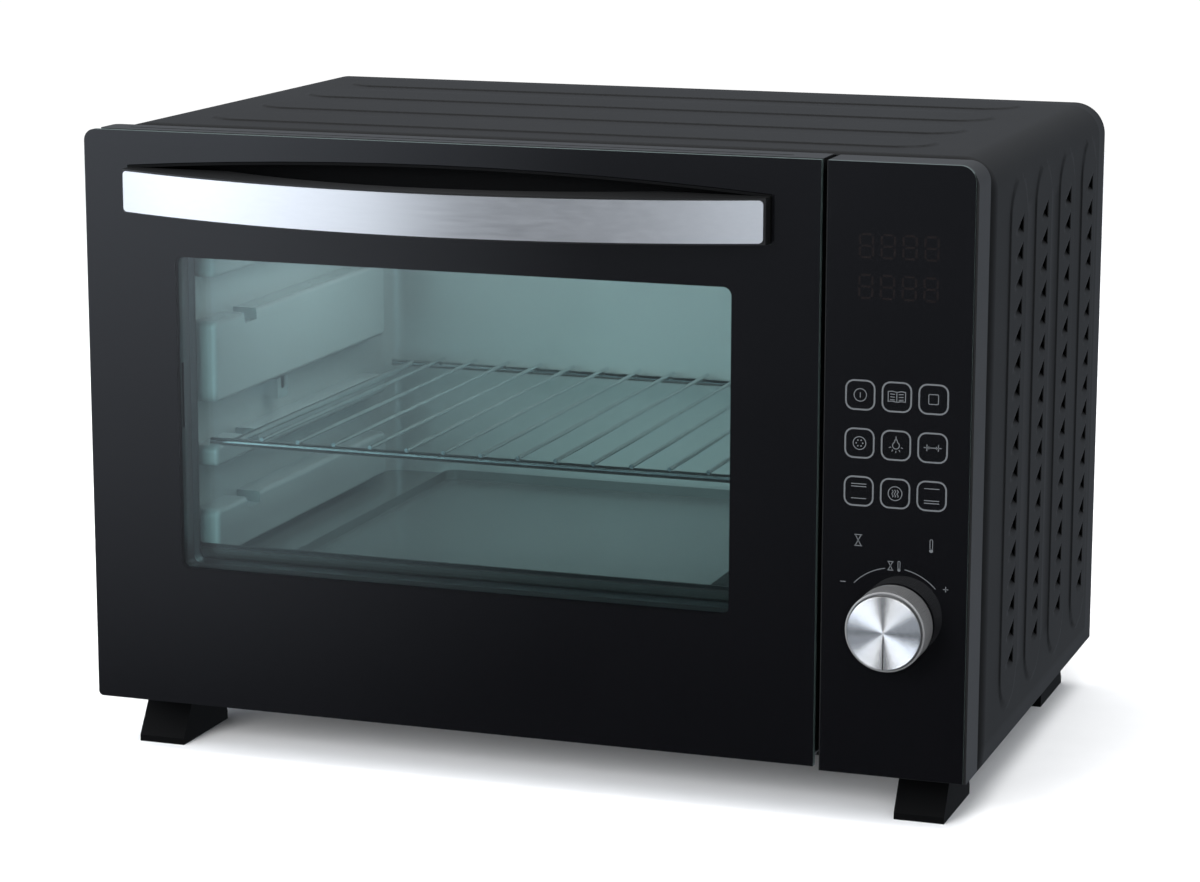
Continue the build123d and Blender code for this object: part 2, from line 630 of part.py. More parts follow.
def temperature_probe():
    x = CAVITY_MIDDLE + CAVITY_HALF
    return bar((x - 55, *PROBE), (DIVIDER_X + 6, *PROBE), PROBE_RADIUS)


def thermal_cutout():
    """A snap-disc cutout on a flat ear, on top of the cavity."""
    y, z = CAVITY_BACK - 90, CEILING_Z + SHEET
    body = bar((CAVITY_MIDDLE, y, z), (CAVITY_MIDDLE, y, z + 8), 8)
    return body + block((CAVITY_MIDDLE - 14, CAVITY_MIDDLE + 14), (y - 5, y + 5), (z, z + 1))


def power_board():
    """The supply board, with transformer, relays and capacitor, on spacers."""
    back = BAY_WALL + BOARD_STANDOFF
    front = back + BOARD
    y, z = (GLASS_FRONT + 150, GLASS_FRONT + 290), (BOTTOM + 30, BOTTOM + 125)
    board = block((back, front), y, z)
    for post_y in (y[0] + 6, y[1] - 6):
        for post_z in (z[0] + 6, z[1] - 6):
            board += bar((BAY_WALL, post_y, post_z), (back, post_y, post_z), 3)
    transformer = block((front, front + 28.4), (y[0] + 10, y[0] + 50), (z[0] + 10, z[0] + 44))
    board += transformer
    for relay in (y[0] + 65, y[0] + 90, y[0] + 115):
        board += block((front, front + 16.4), (relay, relay + 16), (z[1] - 40, z[1] - 20))
    capacitor = (y[0] + 90, z[0] + 25)
    return board + bar((front, *capacitor), (front + 24.4, *capacitor), 9)


def terminal_block():
    """Three screw terminals beside the cord gland."""
    y = (CABINET_BACK - 52, CABINET_BACK - 26)
    centre = DIVIDER_X + 25
    body = block((centre - 18, centre + 18), y, (BOTTOM + SHEET, BOTTOM + 18))
    for place in (centre - 11, centre, centre + 11):
        body -= bar((place, middle(y), BOTTOM + 10), (place, middle(y), BOTTOM + 20), 3)
    return body


def cord_gland():
    """The bush in the back panel that a supply cord would pass through."""
    end = CABINET_BACK + GLAND_REACH
    bush = bar((GLAND_X, CABINET_BACK, GLAND_Z), (GLAND_X, end, GLAND_Z), GLAND_FLANGE)
    bush = fillet(bush.faces().sort_by(Axis.Y)[-1].edges(), 1.5)
    bush += bar((GLAND_X, CABINET_BACK - 9, GLAND_Z), (GLAND_X, CABINET_BACK, GLAND_Z), GLAND_BODY)
    return bush - bar((GLAND_X, CABINET_BACK - 10, GLAND_Z), (GLAND_X, end + HOLE_ROOM, GLAND_Z), GLAND_BORE)


# Control panel

def panel_outline(x, z, corner):
    """A tall plate with one large round corner, at the top right."""
    plate = Pos(middle(x), middle(z)) * Rectangle(x[1] - x[0], z[1] - z[0])
    by_height = plate.vertices().sort_by(Axis.Y)[2:]
    return fillet(by_height.sort_by(Axis.X)[-1:], corner)


def control_glass():
    outline = panel_outline(PANEL_X, (BOTTOM + 0.5, DOOR_TOP), 9)
    glass = upright(outline, (GLASS_FRONT, GLASS_FRONT + PANEL_GLASS))
    return glass - bar((KNOB_X, GLASS_FRONT - 1, KNOB_Z), (KNOB_X, GLASS_FRONT + 5, KNOB_Z), 4.5)


def control_bezel():
    """The plastic housing behind the glass, with a thin rim round it."""
    x = (PANEL_X[0] - 0.8, RIGHT - 0.8)
    z = (BOTTOM, TOP - 0.8)
    housing = upright(panel_outline(x, z, 12), (GLASS_FRONT + 1, CABINET_FRONT))
    seat_x = (PANEL_X[0] - 0.1, PANEL_X[1] + 0.1)
    seat = upright(panel_outline(seat_x, (BOTTOM + 0.4, DOOR_TOP + 0.1), 9.1), (GLASS_FRONT, GLASS_FRONT + PANEL_GLASS))
    hollow_x = (x[0] + 2, x[1] - 2)
    hollow = upright(panel_outline(hollow_x, (z[0] + 2, z[1] - 2), 10), (GLASS_FRONT + 5.5, CABINET_FRONT + 1))
    window = block((PANEL_X[0] + 8, PANEL_X[1] - 8), (GLASS_FRONT, GLASS_FRONT + 8), (BOTTOM + 60, TOP - 30))
    return housing - seat - hollow - window


def touch_foil():
    """The sensor foil bonded behind the nine touch keys."""
    x = (PANEL_X[0] + 9, PANEL_X[1] - 9)
    return block(x, (GLASS_FRONT + 3, GLASS_FRONT + 3.4), (DOOR_BOTTOM + 148, DOOR_BOTTOM + 236))


def display_module():
    x = (LEFT + 474, LEFT + 534)
    y = (GLASS_FRONT + PANEL_GLASS, GLASS_FRONT + 9)
    return block(x, y, (DOOR_BOTTOM + 256, DOOR_BOTTOM + 319))


def control_board():
    x = (LEFT + 472, LEFT + 539)
    y = (GLASS_FRONT + 12, GLASS_FRONT + 13.6)
    board = block(x, y, (DOOR_BOTTOM + 66, DOOR_BOTTOM + 330))
    for z in (120, 180, 250):
        board += block((x[0] + 12, x[1] - 12), (y[1], y[1] + 3), (DOOR_BOTTOM + z, DOOR_BOTTOM + z + 14))
    return board - bar((KNOB_X, y[0] - 1, KNOB_Z), (KNOB_X, y[1] + 1, KNOB_Z), SHAFT_RADIUS + 1)


def rotary_encoder():
    body = block((KNOB_X - 7, KNOB_X + 7), (GLASS_FRONT + 5.6, GLASS_FRONT + 12), (KNOB_Z - 7, KNOB_Z + 7))
    body += bar((KNOB_X, GLASS_FRONT + 0.2, KNOB_Z), (KNOB_X, GLASS_FRONT + 5.6, KNOB_Z), 4.4)
    start = (KNOB_X, GLASS_FRONT - 1, KNOB_Z)
    return body - bar(start, (KNOB_X, GLASS_FRONT + 13, KNOB_Z), SHAFT_RADIUS + RUNNING_GAP)


def encoder_shaft():
    start = (KNOB_X, KNOB_BACK - 12, KNOB_Z)
    return bar(start, (KNOB_X, GLASS_FRONT + 11, KNOB_Z), SHAFT_RADIUS)


def knob_body():
    """The knob's sleeve, hollow from behind, with a hub on the shaft."""
    body = bar((KNOB_X, SLEEVE_FRONT, KNOB_Z), (KNOB_X, KNOB_BACK, KNOB_Z), KNOB_RADIUS)
    body = chamfer(body.faces().sort_by(Axis.Y)[0].edges(), 0.8)
    hollow = bar((KNOB_X, SLEEVE_FRONT + 4, KNOB_Z), (KNOB_X, KNOB_BACK + 1, KNOB_Z), KNOB_RADIUS - 3)
    hollow -= bar((KNOB_X, SLEEVE_FRONT, KNOB_Z), (KNOB_X, KNOB_BACK - 1, KNOB_Z), HUB_RADIUS)
    bore = bar((KNOB_X, KNOB_BACK - 12, KNOB_Z), (KNOB_X, KNOB_BACK + 1, KNOB_Z), SHAFT_RADIUS)
    return body - hollow - bore


def knob_cap():
    """The turned metal disc on the knob's face, on its neck, with a pointer groove."""
    disc_back = KNOB_FRONT + CAP_THICK
    cap = bar((KNOB_X, KNOB_FRONT, KNOB_Z), (KNOB_X, disc_back, KNOB_Z), CAP_RADIUS)
    cap = chamfer(cap.faces().sort_by(Axis.Y)[0].edges(), 0.4)
    cap += bar((KNOB_X, disc_back, KNOB_Z), (KNOB_X, SLEEVE_FRONT, KNOB_Z), NECK_RADIUS)
    pointer = block((KNOB_X - 0.7, KNOB_X + 0.7), (KNOB_FRONT - 1, KNOB_FRONT + 0.5), (KNOB_Z - 20.5, KNOB_Z))
    return cap - pointer


# Door

def pocket_outline(shrink):
    """The handle pocket seen from the front: a slot with an arched top."""
    half = HANDLE_HALF + 0.7 - shrink
    low = HANDLE_Z[0] - 0.5 + shrink
    high = HANDLE_Z[1] + 1 - shrink
    left, right = DOOR_MIDDLE - half, DOOR_MIDDLE + half
    arch = ThreePointArc((left, high), (DOOR_MIDDLE, high + POCKET_RISE), (right, high))
    sides = Polyline((right, high), (right, low), (left, low), (left, high))
    return make_face(arch + sides)


def door_glass():
    x = (DOOR_LEFT, DOOR_RIGHT)
    z = (DOOR_BOTTOM, DOOR_TOP)
    outline = Pos(middle(x), middle(z)) * Rectangle(DOOR_WIDTH, DOOR_HEIGHT)
    outline = fillet(outline.vertices().group_by(Axis.X)[0].sort_by(Axis.Y)[-1:], 7)
    outline = fillet(outline.vertices().sort_by(Axis.X).sort_by(Axis.Y)[:1], 3)
    glass = upright(outline, (GLASS_FRONT, GLASS_FRONT + GLASS))
    return glass - upright(pocket_outline(-0.4), (GLASS_FRONT - 1, GLASS_FRONT + GLASS + 1))


def door_frame():
    """The folded steel frame behind the glass, open towards it, with a window through it."""
    x = (DOOR_LEFT + 2, DOOR_RIGHT - 1.5)
    y = (GLASS_FRONT + GLASS, FRAME_BACK)
    z = (DOOR_BOTTOM + 2, FRAME_TOP)
    frame = upright(rounded(x, z, 4), y)
    channel = upright(rounded((x[0] + 1, x[1] - 1), (z[0] + 1, z[1] - 1), 3), (y[0] - 1, y[1] - 1))
    tunnel = upright(rounded((WINDOW_X[0] - 1, WINDOW_X[1] + 1), (WINDOW_Z[0] - 1, WINDOW_Z[1] + 1), 6), y)
    frame = frame - (channel - tunnel)
    frame -= upright(rounded(WINDOW_X, WINDOW_Z, 5), (y[0] - 1, y[1] - 1))
    lip_x = (WINDOW_X[0] + WINDOW_LIP, WINDOW_X[1] - WINDOW_LIP)
    lip_z = (WINDOW_Z[0] + WINDOW_LIP, WINDOW_Z[1] - WINDOW_LIP)
    frame -= upright(rounded(lip_x, lip_z, 5), (y[0], y[1] + 1))
    for place in hinge_places():
        frame -= block((place - 7, place + 7), (y[0] - 1, y[1] + 1), (z[0] - 1, DOOR_BOTTOM + 24))
    for place in handle_screw_places():
        frame -= bar((place, y[1] - 2, middle(HANDLE_Z)), (place, y[1] + 1, middle(HANDLE_Z)), 2.1)
    side_slot = block((WINDOW_X[0] - 3, WINDOW_X[0] + 1), (y[0] + 5, y[0] + 8), (DOOR_BOTTOM + 171, DOOR_BOTTOM + 211))
    return frame - side_slot


def hinge_places():
    return (DOOR_LEFT + HINGE_INSET, DOOR_RIGHT - HINGE_INSET)


def handle_screw_places():
    return (DOOR_MIDDLE - HANDLE_HALF + 14, DOOR_MIDDLE + HANDLE_HALF - 14)


def door_hinge_ears():
    """Pairs of ears on the door that turn on the hinge pins."""
    ears = []
    for place in hinge_places():
        for side in (-1, 1):
            x = sorted((place + side * 4.5, place + side * 6.8))
            y = (GLASS_FRONT + GLASS + 0.2, FRAME_BACK - 1.2)
            ear = block(x, y, (DOOR_BOTTOM + 3, DOOR_BOTTOM + 24))
            hole = bar((x[0] - 1, HINGE_Y, HINGE_Z), (x[1] + 1, HINGE_Y, HINGE_Z), PIN_RADIUS + RUNNING_GAP)
            ears.append(ear - hole)
    return Compound(children=ears)


def hinge_bracket(place):
    """An arm on the cabinet front that carries the door's hinge pin."""
    arm_z = (HINGE_Z - 5, HINGE_Z + 5)
    arm = block((place - 1.5, place + 1.5), (HINGE_Y, CABINET_FRONT), arm_z)
    arm += bar((place - 1.5, HINGE_Y, HINGE_Z), (place + 1.5, HINGE_Y, HINGE_Z), 5)
    arm += block((place - 5, place + 5), (CABINET_FRONT - 1.5, CABINET_FRONT), (HINGE_Z - 5, HINGE_Z + 12))
    return arm + bar((place - 6.9, HINGE_Y, HINGE_Z), (place + 6.9, HINGE_Y, HINGE_Z), PIN_RADIUS)


def door_inner_glass():
    gap = 0.3
    x = (WINDOW_X[0] + gap, WINDOW_X[1] - gap)
    z = (WINDOW_Z[0] + gap, WINDOW_Z[1] - gap)
    return upright(rounded(x, z, 4.7), (FRAME_BACK - 1 - INNER_GLASS, FRAME_BACK - 1))


def door_seal():
    """The soft seal round the cavity's mouth."""
    outer_x = (CAVITY_MIDDLE - CAVITY_HALF - 8, CAVITY_MIDDLE + CAVITY_HALF + 8)
    outer = rounded(outer_x, (LIP_Z - 7, CEILING_Z + 7), 10)
    inner = rounded((outer_x[0] + 5, outer_x[1] - 5), (LIP_Z - 2, CEILING_Z + 2), 6)
    return upright(outer - inner, (FRAME_BACK, CABINET_FRONT - 0.4))


def door_cap():
    """The strip along the door's top edge, with a long drain groove."""
    x = (DOOR_LEFT + 8, DOOR_RIGHT)
    y = (GLASS_FRONT + GLASS, CABINET_FRONT - 2)
    cap = block(x, y, (FRAME_TOP, DOOR_TOP + 0.4))
    cap = fillet(cap.edges().filter_by(Axis.Z).sort_by(Axis.X)[:2], 4)
    groove_y = (GLASS_FRONT + 13, GLASS_FRONT + 15)
    return cap - block((x[0] + 16, x[1] - 20), groove_y, (DOOR_TOP - 1.6, DOOR_TOP + 1))


def bow_cylinder(reach, half, ends):
    """An upright cylinder whose front is a shallow bow across the door."""
    sagitta = reach - ends
    radius = (half ** 2 + sagitta ** 2) / (2 * sagitta)
    centre = GLASS_FRONT - reach + radius
    place = Pos(DOOR_MIDDLE, centre, middle(HANDLE_Z))
    return place, radius


def handle_block(inset, y_back):
    x = (DOOR_MIDDLE - HANDLE_HALF + inset, DOOR_MIDDLE + HANDLE_HALF - inset)
    return block(x, (GLASS_FRONT - 60, y_back), (HANDLE_Z[0] + inset, HANDLE_Z[1] - inset))


def handle_bosses():
    """Two posts behind the bar's ends that its screws go into."""
    y = (GLASS_FRONT, GLASS_FRONT + POCKET_DEPTH)
    z = middle(HANDLE_Z)
    return [bar((x, y[0], z), (x, y[1], z), BOSS_RADIUS) for x in handle_screw_places()]


def handle_body():
    """The bowed bar, with its screw bosses."""
    place, radius = bow_cylinder(HANDLE_REACH, HANDLE_HALF, HANDLE_END)
    solid_bow = place * Cylinder(radius - HANDLE_FACE, 60)
    back_place, back_radius = bow_cylinder(HANDLE_BACK, HANDLE_BACK_HALF, -1)
    inner_bow = back_place * Cylinder(back_radius, 60)
    body = (handle_block(0, GLASS_FRONT + 1.5) & solid_bow) - inner_bow
    for boss in handle_bosses():
        body += boss
    y = (GLASS_FRONT + 8, GLASS_FRONT + POCKET_DEPTH + 1)
    z = middle(HANDLE_Z)
    return body - [bar((x, y[0], z), (x, y[1], z), SCREW_RADIUS) for x in handle_screw_places()]


def handle_pocket():
    """The tray behind the bar that the fingertips reach into."""
    pocket = upright(pocket_outline(0), (GLASS_FRONT + 0.2, GLASS_FRONT + POCKET_DEPTH))
    pocket -= upright(pocket_outline(POCKET_WALL), (GLASS_FRONT - 1, GLASS_FRONT + POCKET_DEPTH - POCKET_WALL))
    return pocket - handle_block(0, GLASS_FRONT + 1.5) - handle_bosses()


def handle_face():
    """The brushed steel strip that covers the bar's front."""
    place, radius = bow_cylinder(HANDLE_REACH, HANDLE_HALF, HANDLE_END)
    strip = place * Cylinder(radius, 60) - place * Cylinder(radius - HANDLE_FACE, 60)
    face = handle_block(1.0, GLASS_FRONT - 5) & strip
    return fillet(face.edges().filter_by(lambda edge: 0.5 < edge.length < 3), 2.5)


def handle_screws():
    screws = []
    z = middle(HANDLE_Z)
    for x in handle_screw_places():
        shank = bar((x, GLASS_FRONT + 9, z), (x, FRAME_BACK, z), 2)
        screws.append(shank + bar((x, FRAME_BACK, z), (x, FRAME_BACK + 2, z), 4))
    return Compound(children=screws)


def pieces():
    """Every piece by name, from the outside in."""
    named = {
        "outer_cabinet": outer_cabinet(),
        "back_panel": back_panel(),
        "base_panel": base_panel(),
        "front_frame": front_frame(),
        "bay_divider": bay_divider(),
        "cabinet_screws": cabinet_screws(),
        "foot_screws": foot_screws(),
        "cavity_floor": cavity_sheet((FLOOR_Z - SHEET, FLOOR_Z)),
        "cavity_ceiling": cavity_sheet((CEILING_Z, CEILING_Z + SHEET)),
        "cavity_left_wall": cavity_left_wall(),
        "cavity_right_wall": cavity_right_wall(),
        "cavity_back_wall": cavity_back_wall(),
        "crumb_tray": crumb_tray(),
        "heater_insulators": heater_insulators(),
        "spit_rest": spit_rest(),
        "wire_rack": wire_rack(),
        "fan_housing": fan_housing(),
        "fan_blade": fan_blade(),
        "fan_motor": fan_motor(),
        "spit_socket": spit_socket(),
        "spit_motor": spit_motor(),
        "lamp_lens": lamp_lens(),
        "lamp_bulb": lamp_bulb(),
        "lamp_holder": lamp_holder(),
        "temperature_probe": temperature_probe(),
        "thermal_cutout": thermal_cutout(),
        "power_board": power_board(),
        "terminal_block": terminal_block(),
        "cord_gland": cord_gland(),
        "control_glass": control_glass(),
        "control_bezel": control_bezel(),
        "touch_foil": touch_foil(),
        "display_module": display_module(),
        "control_board": control_board(),
        "rotary_encoder": rotary_encoder(),
        "encoder_shaft": encoder_shaft(),
        "knob_body": knob_body(),
        "knob_cap": knob_cap(),
        "door_glass": door_glass(),
        "door_frame": door_frame(),
        "door_inner_glass": door_inner_glass(),
        "door_seal": door_seal(),
        "door_cap": door_cap(),
        "door_hinge_ears": door_hinge_ears(),
        "handle_body": handle_body(),
        "handle_pocket": handle_pocket(),
        "handle_face": handle_face(),
        "handle_screws": handle_screws(),
        "hinge_bracket_left": hinge_bracket(hinge_places()[0]),
        "hinge_bracket_right": hinge_bracket(hinge_places()[1]),
    }
    for name, y, z in heater_places():
        named[name] = heater(y, z)
    for name, x, toe, way in foot_places():
        named[name] = foot(x, toe, way)
    return named


os.makedirs("parts", exist_ok=True)
for name, solid in pieces().items():
    save(name, solid)
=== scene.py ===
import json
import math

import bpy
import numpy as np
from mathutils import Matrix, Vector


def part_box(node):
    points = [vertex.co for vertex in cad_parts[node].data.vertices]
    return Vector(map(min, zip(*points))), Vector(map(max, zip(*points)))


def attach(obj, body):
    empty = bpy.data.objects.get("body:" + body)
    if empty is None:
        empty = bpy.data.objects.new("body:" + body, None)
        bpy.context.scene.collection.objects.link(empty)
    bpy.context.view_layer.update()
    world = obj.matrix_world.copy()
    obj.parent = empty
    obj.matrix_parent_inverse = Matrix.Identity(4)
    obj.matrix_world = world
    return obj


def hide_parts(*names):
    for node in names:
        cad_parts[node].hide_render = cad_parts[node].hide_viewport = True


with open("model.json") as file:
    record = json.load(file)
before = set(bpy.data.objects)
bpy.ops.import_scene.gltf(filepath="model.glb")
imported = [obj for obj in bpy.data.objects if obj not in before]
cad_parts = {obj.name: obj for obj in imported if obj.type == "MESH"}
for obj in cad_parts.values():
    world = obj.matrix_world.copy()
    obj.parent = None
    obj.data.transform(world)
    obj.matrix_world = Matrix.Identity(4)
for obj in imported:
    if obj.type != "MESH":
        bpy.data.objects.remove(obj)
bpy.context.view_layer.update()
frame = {"nodes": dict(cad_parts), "record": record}

# %% [markdown]
# A free-standing toaster oven: a folded steel cabinet, a drop-down glass door with a bowed
# handle, and a glass control panel with nine touch keys and a turned knob.
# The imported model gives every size. This script gives the finishes, the pressed cabinet shell,
# the knurled knob, the printed marks, the camera and the studio.
# All lengths are metres in the oven's own frame: X to its right, Y to its back, Z up.

MM = 0.001


# %% [markdown]
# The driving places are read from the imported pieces, so that the looks follow the model if
# its sizes change.

# %% Driving places
door_low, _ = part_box("door_glass")
panel_low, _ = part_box("control_glass")
shell_low, shell_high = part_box("outer_cabinet")
knob_low, knob_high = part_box("knob_body")
cap_low, cap_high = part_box("knob_cap")
inner_low, inner_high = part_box("door_inner_glass")
DOOR_LEFT = door_low.x
DOOR_BOTTOM = door_low.z
KNOB_X = (knob_low.x + knob_high.x) / 2
KNOB_Z = (knob_low.z + knob_high.z) / 2
print("door", tuple(door_low), "panel", tuple(panel_low), "knob", KNOB_X, KNOB_Z)


# %% [markdown]
# A finish is a shader tree. Numbers that vary over a surface are wrapped in Level, so that a
# finish reads like the arithmetic it is. Every other node comes from Finish.node.

# %% Shader arithmetic
class Level:
    """A number that varies over a surface. Arithmetic on it adds Math nodes."""

    def __init__(self, finish, socket):
        self.finish = finish
        self.socket = socket

    def math(self, operation, *values):
        places = dict(enumerate(values))
        return self.finish.level("ShaderNodeMath", {"operation": operation}, places)

    def __add__(self, other):
        return self.math("ADD", self, other)

    def __radd__(self, other):
        return self.math("ADD", other, self)

    def __sub__(self, other):
        return self.math("SUBTRACT", self, other)

    def __rsub__(self, other):
        return self.math("SUBTRACT", other, self)

    def __mul__(self, other):
        return self.math("MULTIPLY", self, other)

    def __rmul__(self, other):
        return self.math("MULTIPLY", other, self)

    def __truediv__(self, other):
        return self.math("DIVIDE", self, other)

    def __rtruediv__(self, other):
        return self.math("DIVIDE", other, self)

    def __pow__(self, other):
        return self.math("POWER", self, other)

    def __abs__(self):
        return self.math("ABSOLUTE", self)

    def over(self, limit):
        """1 where the level is over the limit, and 0 elsewhere."""
        return self.math("GREATER_THAN", self, limit)

    def larger(self, other):
        return self.math("MAXIMUM", self, other)

    def between(self, low, high):
        """0 at low, 1 at high, and a straight, clamped line between them."""
        settings = {"clamp": True}
        inputs = {"Value": self, "From Min": low, "From Max": high}
        return self.finish.level("ShaderNodeMapRange", settings, inputs)


class Finish:
    """One material, or the world, and the nodes in it."""

    def __init__(self, name, world=None):
        self.material = world or bpy.data.materials.new(name)
        self.material.use_nodes = True
        self.tree = self.material.node_tree
        self.tree.nodes.clear()
        self.output = self.node("ShaderNodeOutputWorld" if world else "ShaderNodeOutputMaterial")
        self.place = self.node("ShaderNodeTexCoord").outputs["Object"]

    def node(self, kind, settings=None, inputs=None):
        """A node of any kind: its settings are set first, then its sockets."""
        made = self.tree.nodes.new(kind)
        for setting, value in (settings or {}).items():
            if setting == "stops":
                self.set_stops(made.color_ramp, value)
            else:
                setattr(made, setting, value)
        for socket, value in (inputs or {}).items():
            value = getattr(value, "socket", value)
            if isinstance(value, bpy.types.NodeSocket):
                self.tree.links.new(value, made.inputs[socket])
            else:
                made.inputs[socket].default_value = value
        return made

    @staticmethod
    def set_stops(ramp, stops):
        while len(ramp.elements) < len(stops):
            ramp.elements.new(0.5)
        for element, (position, colour) in zip(ramp.elements, stops):
            element.position = position
            element.color = colour

    def level(self, kind, settings=None, inputs=None, output=0):
        return Level(self, self.node(kind, settings, inputs).outputs[output])

    def axes(self, vector=None):
        """The three parts of a vector; the place on the object by default."""
        split = self.node("ShaderNodeSeparateXYZ", None, {0: vector or self.place})
        return [Level(self, part) for part in split.outputs]

    def stretched(self, scale):
        """The place on the object, stretched along each axis."""
        return self.node("ShaderNodeMapping", None, {"Vector": self.place, "Scale": scale}).outputs[0]

    def noise(self, scale, detail=3.0, stretch=(1, 1, 1), roughness=0.5):
        inputs = {"Vector": self.stretched(stretch), "Scale": scale, "Detail": detail, "Roughness": roughness}
        return self.level("ShaderNodeTexNoise", None, inputs)

    def mix(self, factor, low, high):
        """A colour between two colours."""
        inputs = {0: factor, 6: low, 7: high}
        return self.node("ShaderNodeMix", {"data_type": "RGBA"}, inputs).outputs[2]

    def faces_front(self):
        """1 on faces that look straight to the front, 0 elsewhere."""
        facing = self.node("ShaderNodeTexCoord").outputs["Normal"]
        return (0 - self.axes(facing)[1]).over(0.9)

    def relief(self, height, distance, strength=1.0):
        inputs = {"Height": height, "Distance": distance, "Strength": strength}
        return self.node("ShaderNodeBump", None, inputs).outputs[0]

    def body(self, **inputs):
        """The main shader. Underscores in a socket's name stand for spaces."""
        named = {name.replace("_", " "): value for name, value in inputs.items()}
        return self.node("ShaderNodeBsdfPrincipled", None, named).outputs[0]

    def shade(self, factor, under, over):
        return self.node("ShaderNodeMixShader", None, {0: factor, 1: under, 2: over}).outputs[0]

    def finished(self, shader):
        self.tree.links.new(shader, self.output.inputs["Surface"])
        return self.material


def grey(value, warm=0.0):
    """A nearly neutral colour; warm above 0 leans to red, below 0 to blue."""
    return (value * (1 + warm), value, value * (1 - warm), 1.0)


print("shader classes ready")

# %% [markdown]
# The cabinet is powder-coated sheet steel in satin charcoal: fine orange peel, with very slight
# cloudiness in gloss. Two scales of noise give the peel its uneven grain.

# %% Powder-coated cabinet
def powder_coat():
    coat = Finish("powder_coat")
    cloud = coat.noise(9.0, 3.0)
    peel = coat.noise(1400.0, 2.0)
    fine = coat.noise(5200.0, 1.0)
    colour = coat.mix(cloud, grey(0.0036, -0.04), grey(0.0056, -0.04))
    rough = 0.43 + 0.08 * cloud + 0.05 * peel
    bump = coat.relief(peel * 0.7 + fine * 0.3, 0.00006, 0.5)
    return coat.finished(coat.body(Base_Color=colour, Roughness=rough, Normal=bump, Specular_IOR_Level=0.17))


# %% [markdown]
# Bare and zinc-coated steels share one maker: a cloudy tone, fine rolling lines along one
# axis and a little relief. Spangled zinc adds flat crystals of different greys.

# %% Sheet and rolled steels
def rolled_steel(name, tone, rough, stretch=(30, 1, 30), warm=0.0, spangle=0.0, metallic=1.0, relief=0.00003):
    steel = Finish(name)
    cloud = steel.noise(14.0, 4.0)
    lines = steel.noise(160.0, 2.0, stretch)
    tone_level = 0.55 * cloud + 0.45 * lines
    if spangle:
        crystal_inputs = {"Vector": steel.place, "Scale": 110.0}
        crystal = steel.node("ShaderNodeTexVoronoi", None, crystal_inputs).outputs["Color"]
        tone_level = (1 - spangle) * tone_level + spangle * steel.axes(crystal)[0]
    colour = steel.mix(tone_level, grey(tone * 0.72, warm), grey(tone * 1.15, warm))
    roughness = rough - 0.07 + 0.14 * tone_level
    bump = steel.relief(lines, relief, 0.6)
    return steel.finished(steel.body(Base_Color=colour, Metallic=metallic, Roughness=roughness, Normal=bump))


# %% [markdown]
# The cavity is lined with a light, satin, heat-proof coating over steel. It is half metallic,
# so it shows soft reflections of the rack and of the walls opposite.

# %% Cavity lining
LINING_DULL = (0.31, 0.345, 0.35)
LINING_PALE = (0.41, 0.445, 0.45)


def cavity_lining(name, tone):
    """The lining, with its tone at 1 on the walls and less on the darker floor and tray."""
    lining = Finish(name)
    cloud = lining.noise(7.0, 4.0)
    fleck = lining.noise(900.0, 2.0)
    dull, pale = [tuple(tone * part for part in colour) + (1,) for colour in (LINING_DULL, LINING_PALE)]
    colour = lining.mix(cloud, dull, pale)
    roughness = 0.19 + 0.09 * cloud + 0.03 * fleck
    bump = lining.relief(fleck, 0.00002, 0.08)
    shader = lining.body(Base_Color=colour, Metallic=0.45, Roughness=roughness, Normal=bump)
    return lining.finished(shader)


# %% [markdown]
# Heater sheaths are dull oxidised steel, with straw and blue heat tints along their length.

# %% Heater sheath and ceramic
HEAT_TINTS = (
    (0.30, (0.10, 0.095, 0.09, 1)),
    (0.52, (0.19, 0.15, 0.10, 1)),
    (0.75, (0.10, 0.11, 0.14, 1)),
)


def heater_sheath():
    sheath = Finish("heater_sheath")
    tint = sheath.noise(26.0, 3.0, (1, 0.4, 0.4))
    scale = sheath.noise(700.0, 3.0)
    ramp = sheath.node("ShaderNodeValToRGB", {"stops": HEAT_TINTS}, {0: tint})
    bump = sheath.relief(scale, 0.00008, 0.7)
    rough = 0.36 + 0.2 * scale
    shader = sheath.body(Base_Color=ramp.outputs[0], Metallic=0.8, Roughness=rough, Normal=bump)
    return sheath.finished(shader)


def fired_ceramic():
    clay = Finish("fired_ceramic")
    speck = clay.noise(420.0, 4.0)
    colour = clay.mix(speck, (0.66, 0.62, 0.55, 1), (0.80, 0.77, 0.71, 1))
    bump = clay.relief(speck, 0.0001, 0.5)
    return clay.finished(clay.body(Base_Color=colour, Roughness=0.62 + 0.2 * speck, Normal=bump))


# %% [markdown]
# Mouldings are black plastic with a fine spark-eroded texture. Rubber, the keypad film and the
# display share the same maker with other tones.

# %% Mouldings
def moulding(name, tone, rough, grain=2600.0, depth=0.00005, warm=-0.02, gloss=0.4):
    plastic = Finish(name)
    cloud = plastic.noise(12.0, 3.0)
    texture = plastic.noise(grain, 2.0)
    colour = plastic.mix(cloud, grey(tone * 0.85, warm), grey(tone * 1.2, warm))
    bump = plastic.relief(texture, depth, 0.6)
    roughness = rough - 0.05 + 0.06 * cloud + 0.06 * texture
    shader = plastic.body(Base_Color=colour, Roughness=roughness, Normal=bump, Specular_IOR_Level=gloss)
    return plastic.finished(shader)


# %% [markdown]
# Circuit boards are green laminate with lighter tracks, drawn by a fine brick pattern.

